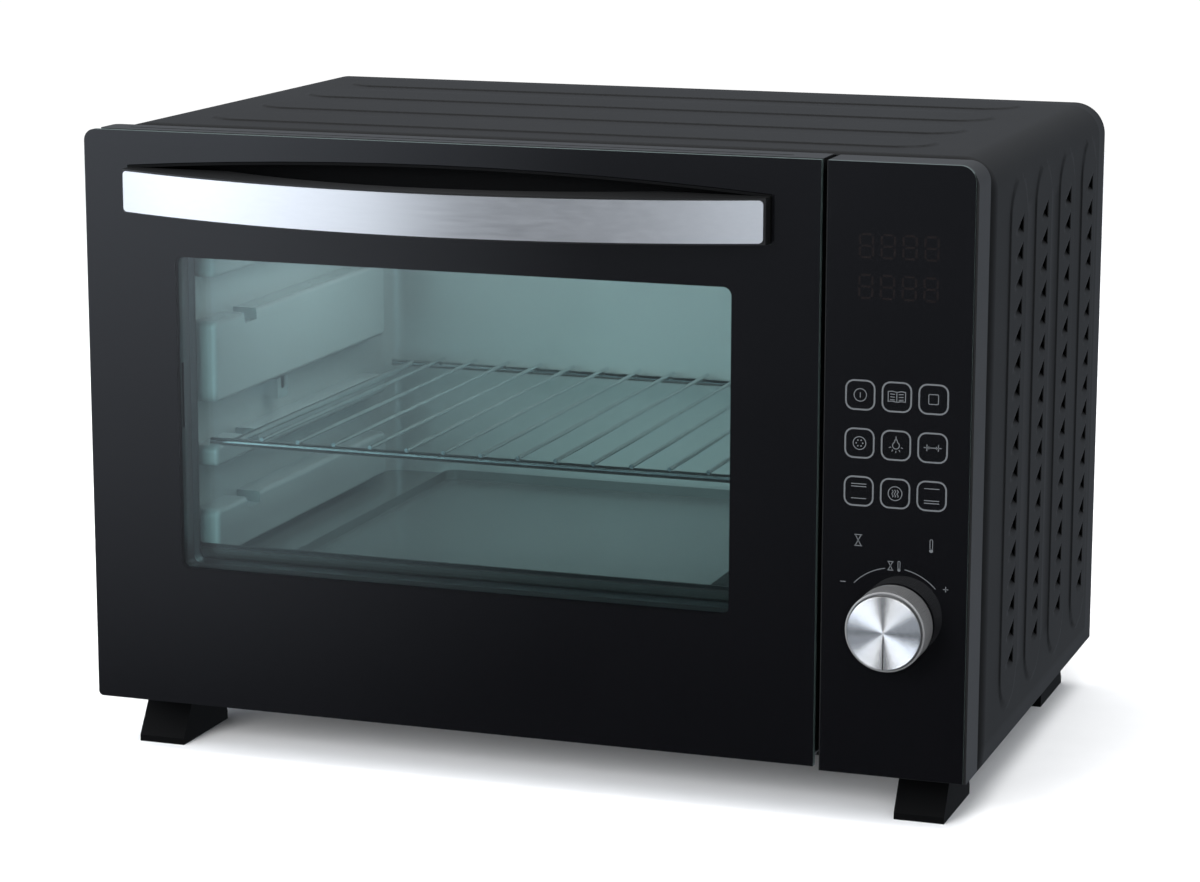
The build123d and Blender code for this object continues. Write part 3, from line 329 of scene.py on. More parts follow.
# %% Circuit board
def laminate():
    board = Finish("laminate")
    upright = board.node("ShaderNodeMapping", None, {
        "Vector": board.place, "Rotation": (math.radians(90), 0, 0)}).outputs[0]
    bricks = board.node("ShaderNodeTexBrick", None, {
        "Vector": upright, "Scale": 160.0, "Mortar Size": 0.03, "Brick Width": 1.7, "Row Height": 0.4})
    track = Level(board, bricks.outputs["Fac"])
    cloud = board.noise(60.0, 2.0)
    base = board.mix(cloud, (0.010, 0.055, 0.022, 1), (0.016, 0.085, 0.034, 1))
    colour = board.mix(track, base, (0.03, 0.16, 0.07, 1))
    bump = board.relief(track, 0.0001, 0.5)
    return board.finished(board.body(Base_Color=colour, Roughness=0.35 + 0.1 * cloud, Normal=bump))


# %% [markdown]
# Clear glass is thin, so light goes straight through it with a faint green tint, and the
# surface adds its reflection by angle. A little grease and dust makes the gloss uneven.

# %% Clear glass
GLASS_IOR = 1.5
GLASS_TINT = (0.905, 0.97, 0.968, 1)


def fresnel_share(finish):
    return finish.level("ShaderNodeFresnel", None, {"IOR": GLASS_IOR})


def see_through(finish, tint):
    """Clear pane: the tint is what one surface passes; the reflection grows with angle."""
    passing = finish.node("ShaderNodeBsdfTransparent", None, {"Color": tint}).outputs[0]
    smear = finish.noise(22.0, 4.0)
    shine = finish.node("ShaderNodeBsdfGlossy", None, {
        "Color": (1, 1, 1, 1), "Roughness": 0.015 + 0.05 * smear}).outputs[0]
    return finish.shade(fresnel_share(finish), passing, shine)


def clear_glass():
    pane = Finish("clear_glass")
    return pane.finished(see_through(pane, GLASS_TINT))


# %% [markdown]
# The door glass is printed black on its back, all but the window, whose corners are round.
# A rounded-rectangle distance in the door's own X and Z tells print from clear glass. The
# ground edges of the pane are pale green where light leaks out of the glass.

# %% Door glass
WINDOW_GAP = 0.0015
WINDOW_ROUND = 0.005
PRINT_EDGE = 0.0001


def window_inside():
    """The clear area's lowest and highest X and Z."""
    left, right = inner_low.x + WINDOW_GAP, inner_high.x - WINDOW_GAP
    return left, right, inner_low.z + WINDOW_GAP, inner_high.z - WINDOW_GAP


def printed_black(finish):
    """The black print seen through polished glass: a deep base under a hard, glossy skin."""
    smear = finish.noise(6.0, 4.0)
    colour = finish.mix(smear, (0.0010, 0.0010, 0.0013, 1), (0.0018, 0.0018, 0.0022, 1))
    return finish.body(Base_Color=colour, Roughness=0.035 + 0.03 * smear, IOR=GLASS_IOR)


def ground_edge(finish):
    """Ground, polished glass edge."""
    streak = finish.noise(300.0, 2.0, (1, 1, 4))
    colour = finish.mix(streak, (0.03, 0.045, 0.042, 1), (0.08, 0.105, 0.10, 1))
    return finish.body(Base_Color=colour, Roughness=0.28 + 0.1 * streak)


def faces_sideways(finish):
    """1 on the thin edges of an upright pane, 0 on its two faces."""
    facing = finish.node("ShaderNodeTexCoord").outputs["Normal"]
    return 1 - abs(finish.axes(facing)[1]).over(0.5)


def door_pane():
    pane = Finish("door_pane")
    x, _, z = pane.axes()
    left, right, low, high = window_inside()
    across = (abs(x - (left + right) / 2) - ((right - left) / 2 - WINDOW_ROUND)).larger(0)
    up = (abs(z - (low + high) / 2) - ((high - low) / 2 - WINDOW_ROUND)).larger(0)
    distance = (across * across + up * up) ** 0.5
    print_mask = distance.between(WINDOW_ROUND - PRINT_EDGE, WINDOW_ROUND + PRINT_EDGE)
    face = pane.shade(print_mask, see_through(pane, GLASS_TINT), printed_black(pane))
    return pane.finished(pane.shade(faces_sideways(pane), face, ground_edge(pane)))


def panel_pane():
    pane = Finish("panel_pane")
    return pane.finished(pane.shade(faces_sideways(pane), printed_black(pane), ground_edge(pane)))


# %% [markdown]
# The handle strip is steel brushed along its length, so its grain runs across the oven. The
# grain is both relief and gloss, and it is lengthened thirty times along X.

# %% Brushed strip
def brushed_strip():
    strip = Finish("brushed_strip")
    grain = strip.noise(2200.0, 3.0, (0.02, 1, 1))
    coarse = strip.noise(500.0, 2.0, (0.03, 1, 1))
    colour = strip.mix(0.5 * grain + 0.5 * coarse, grey(0.86), grey(0.95))
    bump = strip.relief(grain, 0.00002, 0.45)
    roughness = 0.27 + 0.12 * coarse
    return strip.finished(strip.body(Base_Color=colour, Metallic=1.0, Roughness=roughness, Normal=bump))


# %% [markdown]
# The knob's face is turned: a fine spiral of tool marks tilts the metal in and out along each
# radius, which spreads every light into a fan. The marks are finer than the eye can part, so
# each ring's tilt is worked out from its radius instead of from relief.

# %% Turned metal
TURNING_PITCH = 0.00021
TURNING_TILT = 0.75
# The pointer groove is not cut: it is painted as a thin line of dark metal, a painted shade for the groove.
POINTER_HALF = 0.00035      # the thin groove from the centre down, as a pointer
POINTER_START = 0.001
POINTER_FADE = 0.0005


def turned_metal():
    metal = Finish("turned_metal")
    x, _, z = metal.axes()
    aside, upward = x - KNOB_X, z - KNOB_Z
    radius = (aside * aside + upward * upward) ** 0.5 + 0.00001
    scratch = metal.noise(420.0, 2.0)
    mark = metal.level("ShaderNodeMath", {"operation": "FRACT"}, {0: radius / TURNING_PITCH})
    tilt = (mark * 2 - 1) * TURNING_TILT * metal.faces_front()
    leans = {0: aside / radius * tilt, 2: upward / radius * tilt}
    lean = metal.node("ShaderNodeCombineXYZ", None, leans).outputs[0]
    flat = metal.node("ShaderNodeTexCoord").outputs["Normal"]
    leaning = metal.node("ShaderNodeVectorMath", {"operation": "ADD"}, {0: flat, 1: lean}).outputs[0]
    turned = {"vector_type": "NORMAL", "convert_from": "OBJECT", "convert_to": "WORLD"}
    normal = metal.node("ShaderNodeVectorTransform", turned, {0: leaning}).outputs[0]
    # Painted shade: the pointer groove is only a line of dark metal colour down from the centre, with no cut
    # in the face.
    along = (upward * -1).between(POINTER_START, POINTER_START + POINTER_FADE)
    groove = (1 - abs(aside).between(POINTER_HALF * 0.6, POINTER_HALF)) * along
    bright = metal.mix(scratch, grey(0.80), grey(0.90))
    colour = metal.mix(groove, bright, grey(0.10))
    rough = 0.13 + 0.07 * scratch
    return metal.finished(metal.body(Base_Color=colour, Metallic=1.0, Roughness=rough, Normal=normal))


print("finish makers ready")

# %% [markdown]
# Each material slot of the record gets its finish here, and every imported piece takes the
# finish of its slot.

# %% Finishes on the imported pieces
finishes = {
    "paint": powder_coat(),
    "zinc_steel": rolled_steel("zinc_steel", 0.52, 0.40, spangle=0.5),
    "screw_steel": rolled_steel("screw_steel", 0.22, 0.38, (1, 1, 1)),
    "pocket_plastic": moulding("pocket_plastic", 0.0009, 0.5, gloss=0.12),
    "foot_plastic": moulding("foot_plastic", 0.0007, 0.62, 1500.0, 0.0001, gloss=0.08),
    "enamel": cavity_lining("cavity_lining", 1.0),
    "dark_enamel": cavity_lining("dark_enamel", 0.34),
    "heater_tube": heater_sheath(),
    "ceramic": fired_ceramic(),
    "bright_wire": rolled_steel("bright_wire", 0.78, 0.20, (1, 1, 1)),
    "fan_metal": rolled_steel("fan_metal", 0.60, 0.34),
    "motor_metal": rolled_steel("motor_metal", 0.34, 0.42, (6, 6, 6)),
    "clear_glass": clear_glass(),
    "panel_glass": panel_pane(),
    "door_glass": door_pane(),
    "dark_plastic": moulding("dark_plastic", 0.0055, 0.36, gloss=0.3),
    "circuit_board": laminate(),
    "display_plastic": moulding("display_plastic", 0.02, 0.3, 900.0),
    "spun_metal": turned_metal(),
    "knob_metal": rolled_steel("knob_metal", 0.24, 0.42, (1, 30, 1), metallic=0.6),
    "door_steel": rolled_steel("door_steel", 0.12, 0.36, (30, 30, 1)),
    "hinge_steel": rolled_steel("hinge_steel", 0.42, 0.36, (1, 1, 1)),
    "seal_rubber": moulding("seal_rubber", 0.02, 0.7, 1200.0, 0.0001, 0.0, 0.2),
    "brushed_strip": brushed_strip(),
}


def dress(piece, slot):
    piece.data.materials.clear()
    piece.data.materials.append(finishes[slot])


for entry in frame["record"]["subparts"]:
    dress(frame["nodes"][entry["node"]], entry["material_slot"])
print("finishes on", len(frame["nodes"]), "packed pieces")


# %% [markdown]
# Meshes that this script makes are built from rows of points and quads. A sheet is a grid of
# points; a solid sheet then gets its real thickness from a Solidify modifier.

# %% Mesh makers
def mesh_piece(name, points, faces, smooth=True):
    data = bpy.data.meshes.new(name)
    data.from_pydata([tuple(map(float, point)) for point in points], [], faces)
    data.validate()
    data.update()
    if smooth:
        data.polygons.foreach_set("use_smooth", [True] * len(data.polygons))
    piece = bpy.data.objects.new(name, data)
    bpy.context.scene.collection.objects.link(piece)
    return piece


def grid_faces(rows, columns, wrap=False, skip=None):
    """Quads of a grid of points; wrap joins the last column to the first."""
    faces = []
    for row in range(rows - 1):
        for column in range(columns if wrap else columns - 1):
            if skip is not None and skip[row][column]:
                continue
            beside = (column + 1) % columns
            faces.append((row * columns + column, row * columns + beside,
                          (row + 1) * columns + beside, (row + 1) * columns + column))
    return faces


def eased(values, low, high):
    """0 below low, 1 above high, and a smooth step between them."""
    share = np.clip((np.asarray(values, float) - low) / (high - low), 0, 1)
    return share * share * (3 - 2 * share)


# %% [markdown]
# The cabinet's wrapper is one sheet, bent over the top and down both sides. A press raises
# long round-ended ribs on the sides and the roof, and lances louvres in the side ribs: each is
# a cut whose front lip is pushed in, so that air leaves towards the back. The grid is fine only
# where a rib ends or a louvre is cut.

# %% Pressed cabinet shell
RISE = 0.0008
SHEET = 0.0008
CORNER = 0.020
RIB_WIDTH = 0.046
RIB_SLOPE = 0.0014
RIBS = 4
SIDE_RIB_PITCH = 0.0676
SIDE_RIB_LENGTH = 0.318
SIDE_RIB_Y = shell_low.y + 0.176
SIDE_RIB_Z = shell_low.z + 0.178
TOP_RIB_PITCH = 0.073
TOP_RIB_LENGTH = 0.460
TOP_RIB_X = -0.003
TOP_RIB_Y = shell_low.y + 0.176
LOUVRES = 17
LOUVRE_PITCH = 0.0162
LOUVRE_CUT = 0.0108       # the cut's distance behind the middle of the rib
LOUVRE_LENGTH = 0.017
LOUVRE_DEPTH = 0.0058
LOUVRE_HIGH = 0.0020      # the deepest point stands this far above the middle at the cut
LOUVRE_DROP = 0.0050      # and comes down this far towards the front
LOUVRE_ABOVE = 0.0034     # how far the dent reaches above and below its deepest line
LOUVRE_BELOW = 0.0068
LOUVRE_SHARPNESS = 0.8
LOUVRE_ROWS = (-0.0072, -0.0060, -0.0049, -0.0038, -0.0027, -0.0016, -0.0005,
               0.0006, 0.0016, 0.0026, 0.0037, 0.0048, 0.0060)
CUT_GAP = 0.00005
RIB_EDGE_LINES = (0.0002, 0.0005, 0.0008, 0.0011, 0.0014, 0.003, 0.0055, 0.0085, 0.0115)
SCOOP_LINES = (1.0, 0.85, 0.7, 0.55, 0.42, 0.3, 0.2, 0.1, 0.04, 0.0)
BEND_STEPS = 15
SIDE_X = shell_high.x - RISE
ROOF_Z = shell_high.z - RISE


def rib_places(middle, pitch):
    return [middle + (place - (RIBS - 1) / 2) * pitch for place in range(RIBS)]


def rib_height(along, across, length):
    """The height of a round-ended rib at distances along and across it from its middle."""
    spine = np.clip(np.abs(along) - (length - RIB_WIDTH) / 2, 0, None)
    inside = RIB_WIDTH / 2 - np.hypot(spine, across)
    return RISE * eased(inside, 0.0002, RIB_SLOPE)


def lines_through(low, high, step, fine):
    """Grid lines at a coarse step, with groups of finer lines at the places given."""
    lines = list(np.linspace(low, high, int((high - low) / step) + 2))
    for place, offsets in fine:
        inside = [line for line in lines if min(offsets) - 0.0012 < line - place < max(offsets) + 0.0012]
        lines = [line for line in lines if line not in inside or line in (low, high)]
        lines += [place + offset for offset in offsets]
    lines = np.array(sorted(lines))
    return lines[(lines >= low) & (lines <= high)]


def louvre_push(y, z):
    """How far the louvres push the side sheet in at a place, in metres."""
    push = np.zeros(np.broadcast(y, z).shape)
    for rib in rib_places(SIDE_RIB_Y, SIDE_RIB_PITCH):
        ahead = (rib + LOUVRE_CUT - y) / LOUVRE_LENGTH
        for row in range(LOUVRES):
            centre = SIDE_RIB_Z + (row - (LOUVRES - 1) / 2) * LOUVRE_PITCH
            taper = np.clip(1 - ahead, 0, 1) * (ahead >= 0)
            middle = centre + LOUVRE_HIGH - LOUVRE_DROP * np.clip(ahead, 0, 1)
            spread = np.sqrt(taper + 1e-9)
            above = (z - middle) / (LOUVRE_ABOVE * spread)
            below = (middle - z) / (LOUVRE_BELOW * spread)
            across = np.clip(1 - np.maximum(above, below), 0, 1)
            push = np.maximum(push, LOUVRE_DEPTH * taper ** LOUVRE_SHARPNESS * across)
    return push


def shell_path():
    """The wrapper's section: rows of x, z and the outward direction, up one side and over."""
    rows = [SIDE_RIB_Z + (row - (LOUVRES - 1) / 2) * LOUVRE_PITCH for row in range(LOUVRES)]
    fine = [(row, LOUVRE_ROWS) for row in rows]
    tip = SIDE_RIB_LENGTH / 2
    ends = list(np.linspace(-0.002, RIB_WIDTH / 2 - 0.004, 14))
    fine += [(SIDE_RIB_Z - tip, ends), (SIDE_RIB_Z + tip, [-end for end in ends])]
    heights = lines_through(shell_low.z, ROOF_Z - CORNER, 0.012, fine)
    side = [(SIDE_X, z, 1.0, 0.0) for z in heights[:-1]]
    bend = [(SIDE_X - CORNER + CORNER * math.cos(turn), ROOF_Z - CORNER + CORNER * math.sin(turn),
             math.cos(turn), math.sin(turn)) for turn in np.linspace(0, math.pi / 2, BEND_STEPS)]
    far = TOP_RIB_LENGTH / 2
    ends = list(np.linspace(-0.002, RIB_WIDTH / 2, 16))
    roof_fine = [(TOP_RIB_X - far, ends), (TOP_RIB_X + far, [-end for end in ends])]
    across = lines_through(CORNER - SIDE_X, SIDE_X - CORNER, 0.03, roof_fine)
    roof = [(x, ROOF_Z, 0.0, 1.0) for x in across[1:-1][::-1]]
    left = [(-x, z, -out, up) for x, z, out, up in (side + bend)[::-1]]
    return np.array(side + bend + roof + left)


def shell_depths():
    """Grid lines from front to back, with a doubled line at every louvre's cut."""
    edge = [RIB_WIDTH / 2 - inset for inset in RIB_EDGE_LINES]
    offsets = [-value for value in edge] + edge
    fine = [(rib, sorted(offsets)) for rib in rib_places(TOP_RIB_Y, TOP_RIB_PITCH)]
    scoop = [LOUVRE_CUT - LOUVRE_LENGTH * share for share in SCOOP_LINES]
    side_offsets = sorted(offsets + scoop + [LOUVRE_CUT + CUT_GAP, LOUVRE_CUT + 0.001])
    fine += [(rib, side_offsets) for rib in rib_places(SIDE_RIB_Y, SIDE_RIB_PITCH)]
    lines = lines_through(shell_low.y, shell_high.y, 0.02, [])
    for place, some in fine:
        lines = np.append(lines, [place + offset for offset in some])
    lines = np.clip(lines, shell_low.y, shell_high.y)
    return np.unique(np.round(lines, 7))


def pressed_shell():
    path = shell_path()
    depths = shell_depths()
    x, z, out, up = (column[:, None] for column in path.T)
    y = np.broadcast_to(depths[None, :], (len(path), len(depths)))
    side_height = np.zeros(y.shape)
    for rib in rib_places(SIDE_RIB_Y, SIDE_RIB_PITCH):
        side_height = np.maximum(side_height, rib_height(z - SIDE_RIB_Z, y - rib, SIDE_RIB_LENGTH))
    top_height = np.zeros(y.shape)
    for rib in rib_places(TOP_RIB_Y, TOP_RIB_PITCH):
        top_height = np.maximum(top_height, rib_height(x - TOP_RIB_X, y - rib, TOP_RIB_LENGTH))
    push = louvre_push(y, z) * (np.abs(out) > 0.999)
    lift = np.where(np.abs(out) > 0.999, side_height, 0) + np.where(up > 0.999, top_height, 0) - push
    points = np.stack([x + out * lift, y, z + up * lift], -1)
    opened = np.zeros((len(path) - 1, len(depths) - 1), bool)
    for rib in rib_places(SIDE_RIB_Y, SIDE_RIB_PITCH):
        cut = int(np.argmin(np.abs(depths - (rib + LOUVRE_CUT))))
        lipped = np.maximum(push[:-1, cut], push[1:, cut]) > 0.0001
        opened[:, cut] |= lipped
    faces = grid_faces(len(path), len(depths), skip=opened)
    piece = mesh_piece("pressed_shell", points.reshape(-1, 3), faces)
    thick = piece.modifiers.new("sheet", "SOLIDIFY")
    thick.thickness = SHEET
    thick.offset = -1.0
    return piece


shell = pressed_shell()
print("shell", len(shell.data.vertices), "points", len(shell.data.polygons), "faces")
dress(shell, "paint")
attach(shell, "root")
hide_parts("outer_cabinet")

# %% [markdown]
# The knob's sleeve is knurled: fine straight grooves run from its back edge to a plain bevel
# at the front. It is turned and rolled from aluminium, so the grooves are even.

# %% Knurled knob sleeve
GROOVES = 120
GROOVE_DEPTH = 0.00022
DISC_INSET = 0.0010
DISC_THICK = 0.0014
DISC_LIP = 0.0018
DISC_CENTRE = 0.00002
DISC_SIDES = 192


def revolved(name, rings, around, groove=0.0):
    """A shape turned about the knob's axis from rows of y, radius and whether the row is grooved."""
    points = []
    for y, size, grooved in rings:
        for step in range(around):
            turn = 2 * math.pi * step / around
            reach = size - grooved * groove * (step % 4 in (0, 1))
            points.append((KNOB_X + reach * math.cos(turn), y, KNOB_Z + reach * math.sin(turn)))
    return mesh_piece(name, points, grid_faces(len(rings), around, wrap=True), smooth=False)


def knurled_sleeve():
    radius = (knob_high.x - knob_low.x) / 2
    front, back = knob_low.y, knob_high.y
    rings = [
        (front + 0.0020, radius - 0.0052, 0),
        (front + 0.0020, radius - 0.0014, 0),
        (front, radius - 0.0011, 0),
        (front, radius - 0.0005, 0),
        (front + 0.0005, radius, 0),
        (front + 0.0012, radius, 0),
        (front + 0.0018, radius, 1),
        (back - 0.0022, radius, 1),
        (back - 0.0016, radius, 0),
        (back - 0.0004, radius, 0),
        (back, radius - 0.0004, 0),
        (back, radius - 0.003, 0),
    ]
    return revolved("knurled_sleeve", rings, GROOVES * 4, GROOVE_DEPTH)


def turned_disc():
    """The face disc with an eased rim, and the narrower neck behind it."""
    face, back = cap_low.y, cap_high.y
    radius = (cap_high.x - cap_low.x) / 2 - DISC_INSET
    neck = radius - DISC_LIP
    rings = [
        (face, DISC_CENTRE, 0),
        (face, radius - 0.0005, 0),
        (face + 0.00015, radius - 0.00015, 0),
        (face + 0.0005, radius, 0),
        (face + DISC_THICK, radius, 0),
        (face + DISC_THICK, neck, 0),
        (back, neck, 0),
    ]
    return revolved("turned_disc", rings, DISC_SIDES)


sleeve = knurled_sleeve()
dress(sleeve, "knob_metal")
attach(sleeve, "knob")
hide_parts("knob_body")
disc = turned_disc()
dress(disc, "spun_metal")
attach(disc, "knob")
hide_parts("knob_cap")
print("sleeve", len(sleeve.data.polygons), "faces")


# %% [markdown]
# The marks on the control panel are a pale grey screen print. Each mark is a thin ribbon of
# ink of real width, laid on the glass. A stroke is a line with width; round joints come from
# closely spaced points.

# %% Printed strokes
INK_LIFT = 0.00003
INK_THICK = 0.00002


class InkSheet:
    """Collects ribbons of ink in panel millimetres and makes one mesh of them."""

    def __init__(self):
        self.points = []
        self.faces = []

    def stroke(self, line, width, closed=False):
        line = np.array(line, float)
        apart = np.linalg.norm(line - np.roll(line, 1, 0), axis=1) > 1e-6
        line = line[apart | (not closed and np.arange(len(line)) == 0)]
        before = np.roll(line, 1, 0) if closed else np.vstack([2 * line[0] - line[1], line[:-1]])
        after = np.roll(line, -1, 0) if closed else np.vstack([line[1:], 2 * line[-1] - line[-2]])
        into = (line - before) / np.linalg.norm(line - before, axis=1)[:, None]
        onward = (after - line) / np.linalg.norm(after - line, axis=1)[:, None]
        along = into + onward
        along /= np.linalg.norm(along, axis=1)[:, None]
        aside = np.stack([-along[:, 1], along[:, 0]], 1)
        spread = width / 2 / np.clip((along * into).sum(1), 0.5, 1)[:, None]
        first = len(self.points)
        for left, right in zip(line + aside * spread, line - aside * spread):
            self.points += [tuple(left), tuple(right)]
        count = len(line)
        for step in range(count if closed else count - 1):
            a = first + 2 * step
            b = first + 2 * ((step + 1) % count)
            self.faces.append((a, a + 1, b + 1, b))

    def patch(self, outline):
        """A filled shape."""
        first = len(self.points)
        self.points += [tuple(point) for point in outline]
        self.faces.append(tuple(range(first, first + len(outline))))

    def piece(self, name, front):
        points = [((x * MM) + DOOR_LEFT, front - INK_LIFT, z * MM + DOOR_BOTTOM) for x, z in self.points]
        made = mesh_piece(name, points, self.faces, smooth=False)
        thick = made.modifiers.new("ink", "SOLIDIFY")
        thick.thickness = INK_THICK
        return made


def arc(x, z, radius, start, end, steps=20):
    turns = np.radians(np.linspace(start, end, steps))
    return [(x + radius * math.cos(turn), z + radius * math.sin(turn)) for turn in turns]


def ring(x, z, radius, steps=28):
    return arc(x, z, radius, 0, 360 * (1 - 1 / steps), steps)


def round_box(x, z, width, height, radius, steps=6):
    """A rounded rectangle about a middle."""
    inner_x, inner_z = width / 2 - radius, height / 2 - radius
    outline = []
    for corner, (side_x, side_z) in enumerate([(1, 1), (-1, 1), (-1, -1), (1, -1)]):
        start = 90 * corner
        outline += arc(x + side_x * inner_x, z + side_z * inner_z, radius, start, start + 90, steps)
    return outline


# %% [markdown]
# Nine touch keys stand in three rows: power, recipe book and stop; fan, lamp and spit; and
# three heating modes. The oven's stop key carries a plain square, which needs no words.

# %% Touch keys
KEY_X = (483.6, 504.8, 526.0)
KEY_Z = (220.1, 192.4, 164.7)
KEY_SIZE = 16.6
KEY_ROUND = 4.6
KEY_LINE = 0.95
ICON_LINE = 0.5
FINE_LINE = 0.45


def draw_power(ink, x, z):
    ink.stroke(ring(x, z, 3.6), ICON_LINE, closed=True)
    ink.stroke([(x, z - 1.5), (x, z + 1.5)], ICON_LINE)


def draw_book(ink, x, z):
    for side in (-1, 1):
        page = [(x, z - 2.9), (x + side * 2.6, z - 2.4), (x + side * 5.0, z - 2.6), (x + side * 5.0, z + 3.0),
                (x + side * 2.6, z + 3.3), (x, z + 2.7)]
        ink.stroke(page, ICON_LINE)
        for row in range(3):
            level = z + 1.5 - row * 1.6
            ink.stroke([(x + side * 1.1, level), (x + side * 3.9, level + 0.2)], FINE_LINE)
    ink.stroke([(x, z - 2.9), (x, z + 2.7)], ICON_LINE)


def draw_stop(ink, x, z):
    ink.stroke(round_box(x, z, 5.6, 5.6, 0.6, 3), ICON_LINE, closed=True)


def draw_fan_bake(ink, x, z):
    ink.stroke(ring(x, z, 3.7), ICON_LINE, closed=True)
    for turn in range(6):
        angle = math.radians(60 * turn)
        ink.patch(ring(x + 1.9 * math.cos(angle), z + 1.9 * math.sin(angle), 0.45, 8))


def draw_lamp(ink, x, z):
    ink.stroke(arc(x, z, 2.0, -240, 60), ICON_LINE)
    ink.stroke([(x - 1.0, z + 1.7), (x - 0.6, z + 3.2), (x + 0.6, z + 3.2), (x + 1.0, z + 1.7)], FINE_LINE)
    ink.stroke([(x, z + 3.2), (x, z + 5.2)], ICON_LINE)
    for angle in (-160, -125, -90, -55, -20):
        turn = math.radians(angle)
        near, far = 3.0, 4.3
        ink.stroke([(x + near * math.cos(turn), z + near * math.sin(turn)),
                    (x + far * math.cos(turn), z + far * math.sin(turn))], FINE_LINE)


def draw_spit(ink, x, z):
    ink.stroke([(x - 5.2, z), (x + 5.2, z)], ICON_LINE)
    for side in (-1, 1):
        ink.stroke([(x + side * 3.3, z - 1.9), (x + side * 3.3, z + 1.9)], ICON_LINE)
        ink.stroke([(x + side * 2.2, z - 0.9), (x + side * 2.2, z + 0.9)], FINE_LINE)


def draw_heat(ink, x, z, above, below):
    for side, lines in ((1, above), (-1, below)):
        for line in range(lines):
            level = z + side * (4.2 - 1.5 * line)
            ink.stroke([(x - 4.4, level), (x + 4.4, level)], ICON_LINE)


def draw_fan_heat(ink, x, z):
    ink.stroke(ring(x, z, 4.0), ICON_LINE, closed=True)
    for aside in (-1.5, 0, 1.5):
        wave = [(x + aside + 0.4 * math.sin(step * 1.05), z - 2.1 + 0.42 * step) for step in range(11)]
        ink.stroke(wave, FINE_LINE)


def draw_keys(ink):
    icons = [
        [draw_power, draw_book, draw_stop],
        [draw_fan_bake, draw_lamp, draw_spit],
        [lambda *at: draw_heat(*at, 2, 1), draw_fan_heat, lambda *at: draw_heat(*at, 1, 2)],
    ]
    for row, z in zip(icons, KEY_Z):
        for icon, x in zip(row, KEY_X):
            ink.stroke(round_box(x, z, KEY_SIZE, KEY_SIZE, KEY_ROUND), KEY_LINE, closed=True)
            icon(ink, x, z)


# %% [markdown]
# Round the knob are an hourglass for time, a thermometer for heat, both together for the
# choice between them, an arc each way, and a minus and a plus.

# %% Marks round the knob
HOURGLASSES = ((483.8, 136.2, 6.4), (502.9, 122.7, 5.0))     # X, Z and height
THERMOMETERS = ((526.4, 135.9, 7.6), (507.9, 122.7, 6.0))
ARC_RADIUS = 32.5
ARC_ANGLES = ((100, 137), (43, 80))
MINUS = ((473.6, 111.4), (476.8, 111.4))
PLUS = (((533.6, 111.4), (536.8, 111.4)), ((535.2, 109.8), (535.2, 113.0)))


def draw_hourglass(ink, x, z, size):
    half = 0.36 * size
    for side in (-1, 1):
        ink.stroke([(x - half, z + side * size / 2), (x + half, z + side * size / 2)], ICON_LINE)
        ink.stroke([(x - half * 0.75, z + side * size / 2), (x, z)], FINE_LINE)
        ink.stroke([(x + half * 0.75, z + side * size / 2), (x, z)], FINE_LINE)


def draw_thermometer(ink, x, z, size):
    ink.stroke(round_box(x, z + size * 0.12, size * 0.2, size * 0.74, size * 0.1), 0.42, closed=True)
    ink.patch(ring(x, z - size * 0.36, size * 0.15, 14))


def draw_knob_marks(ink):
    knob_x, knob_z = (KNOB_X - DOOR_LEFT) / MM, (KNOB_Z - DOOR_BOTTOM) / MM
    for mark in HOURGLASSES:
        draw_hourglass(ink, *mark)
    for mark in THERMOMETERS:
        draw_thermometer(ink, *mark)
    for start, end in ARC_ANGLES:
        ink.stroke(arc(knob_x, knob_z, ARC_RADIUS, start, end), ICON_LINE)
    for line in (MINUS, *PLUS):
        ink.stroke(line, ICON_LINE)


def screen_ink():
    ink = Finish("screen_ink")
    wear = ink.noise(700.0, 3.0)
    colour = ink.mix(wear, grey(0.050, -0.06), grey(0.070, -0.06))
    return ink.finished(ink.body(Base_Color=colour, Roughness=0.35 + 0.15 * wear))


marks = InkSheet()
draw_keys(marks)
draw_knob_marks(marks)
panel_marks = marks.piece("panel_marks", panel_low.y)
panel_marks.data.materials.append(screen_ink())
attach(panel_marks, "root")
print("panel marks", len(panel_marks.data.polygons), "faces")

# %% [markdown]
# The display is off. Its dark segments can just be made out behind the black print: two rows
# of figures, a little browner than the print.

# %% Unlit display
SEGMENTS = (
    ((0, 1), (1, 1)), ((0, 0), (1, 0)), ((0, -1), (1, -1)),
    ((0, 0), (0, 1)), ((1, 0), (1, 1)), ((0, -1), (0, 0)), ((1, -1), (1, 0)),
)
FIGURES = 4
FIGURE_WIDTH = 7.5
FIGURE_HEIGHT = 13.0
FIGURE_PITCH = 12.5
FIGURE_GAP = 0.13
FIGURE_STROKE = 0.17
FIGURES_X = 504.5
FIGURES_Z = (305.0, 282.0)


def draw_figures(ink, middle):
    """One row of figures with all segments drawn, about a middle in Z."""
    width, half = FIGURE_WIDTH, FIGURE_HEIGHT / 2
    for place in range(FIGURES):
        left = FIGURES_X + (place - (FIGURES - 1) / 2) * FIGURE_PITCH - width / 2
        for (x0, z0), (x1, z1) in SEGMENTS:
            start = np.array([left + x0 * width, middle + z0 * half])
            end = np.array([left + x1 * width, middle + z1 * half])
            trim = (end - start) * FIGURE_GAP
            ink.stroke([start + trim, end - trim], width * FIGURE_STROKE)


def ghost_ink():
    ink = Finish("unlit_segments")
    fade = ink.noise(300.0, 2.0)
    colour = ink.mix(fade, (0.0030, 0.0024, 0.0024, 1), (0.0045, 0.0033, 0.0033, 1))
    return ink.finished(ink.body(Base_Color=colour, Roughness=0.05 + 0.05 * fade))


figures = InkSheet()
for middle in FIGURES_Z:
    draw_figures(figures, middle)
display_figures = figures.piece("display_figures", panel_low.y)
display_figures.data.materials.append(ghost_ink())
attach(display_figures, "root")
print("display figures", len(display_figures.data.polygons), "faces")

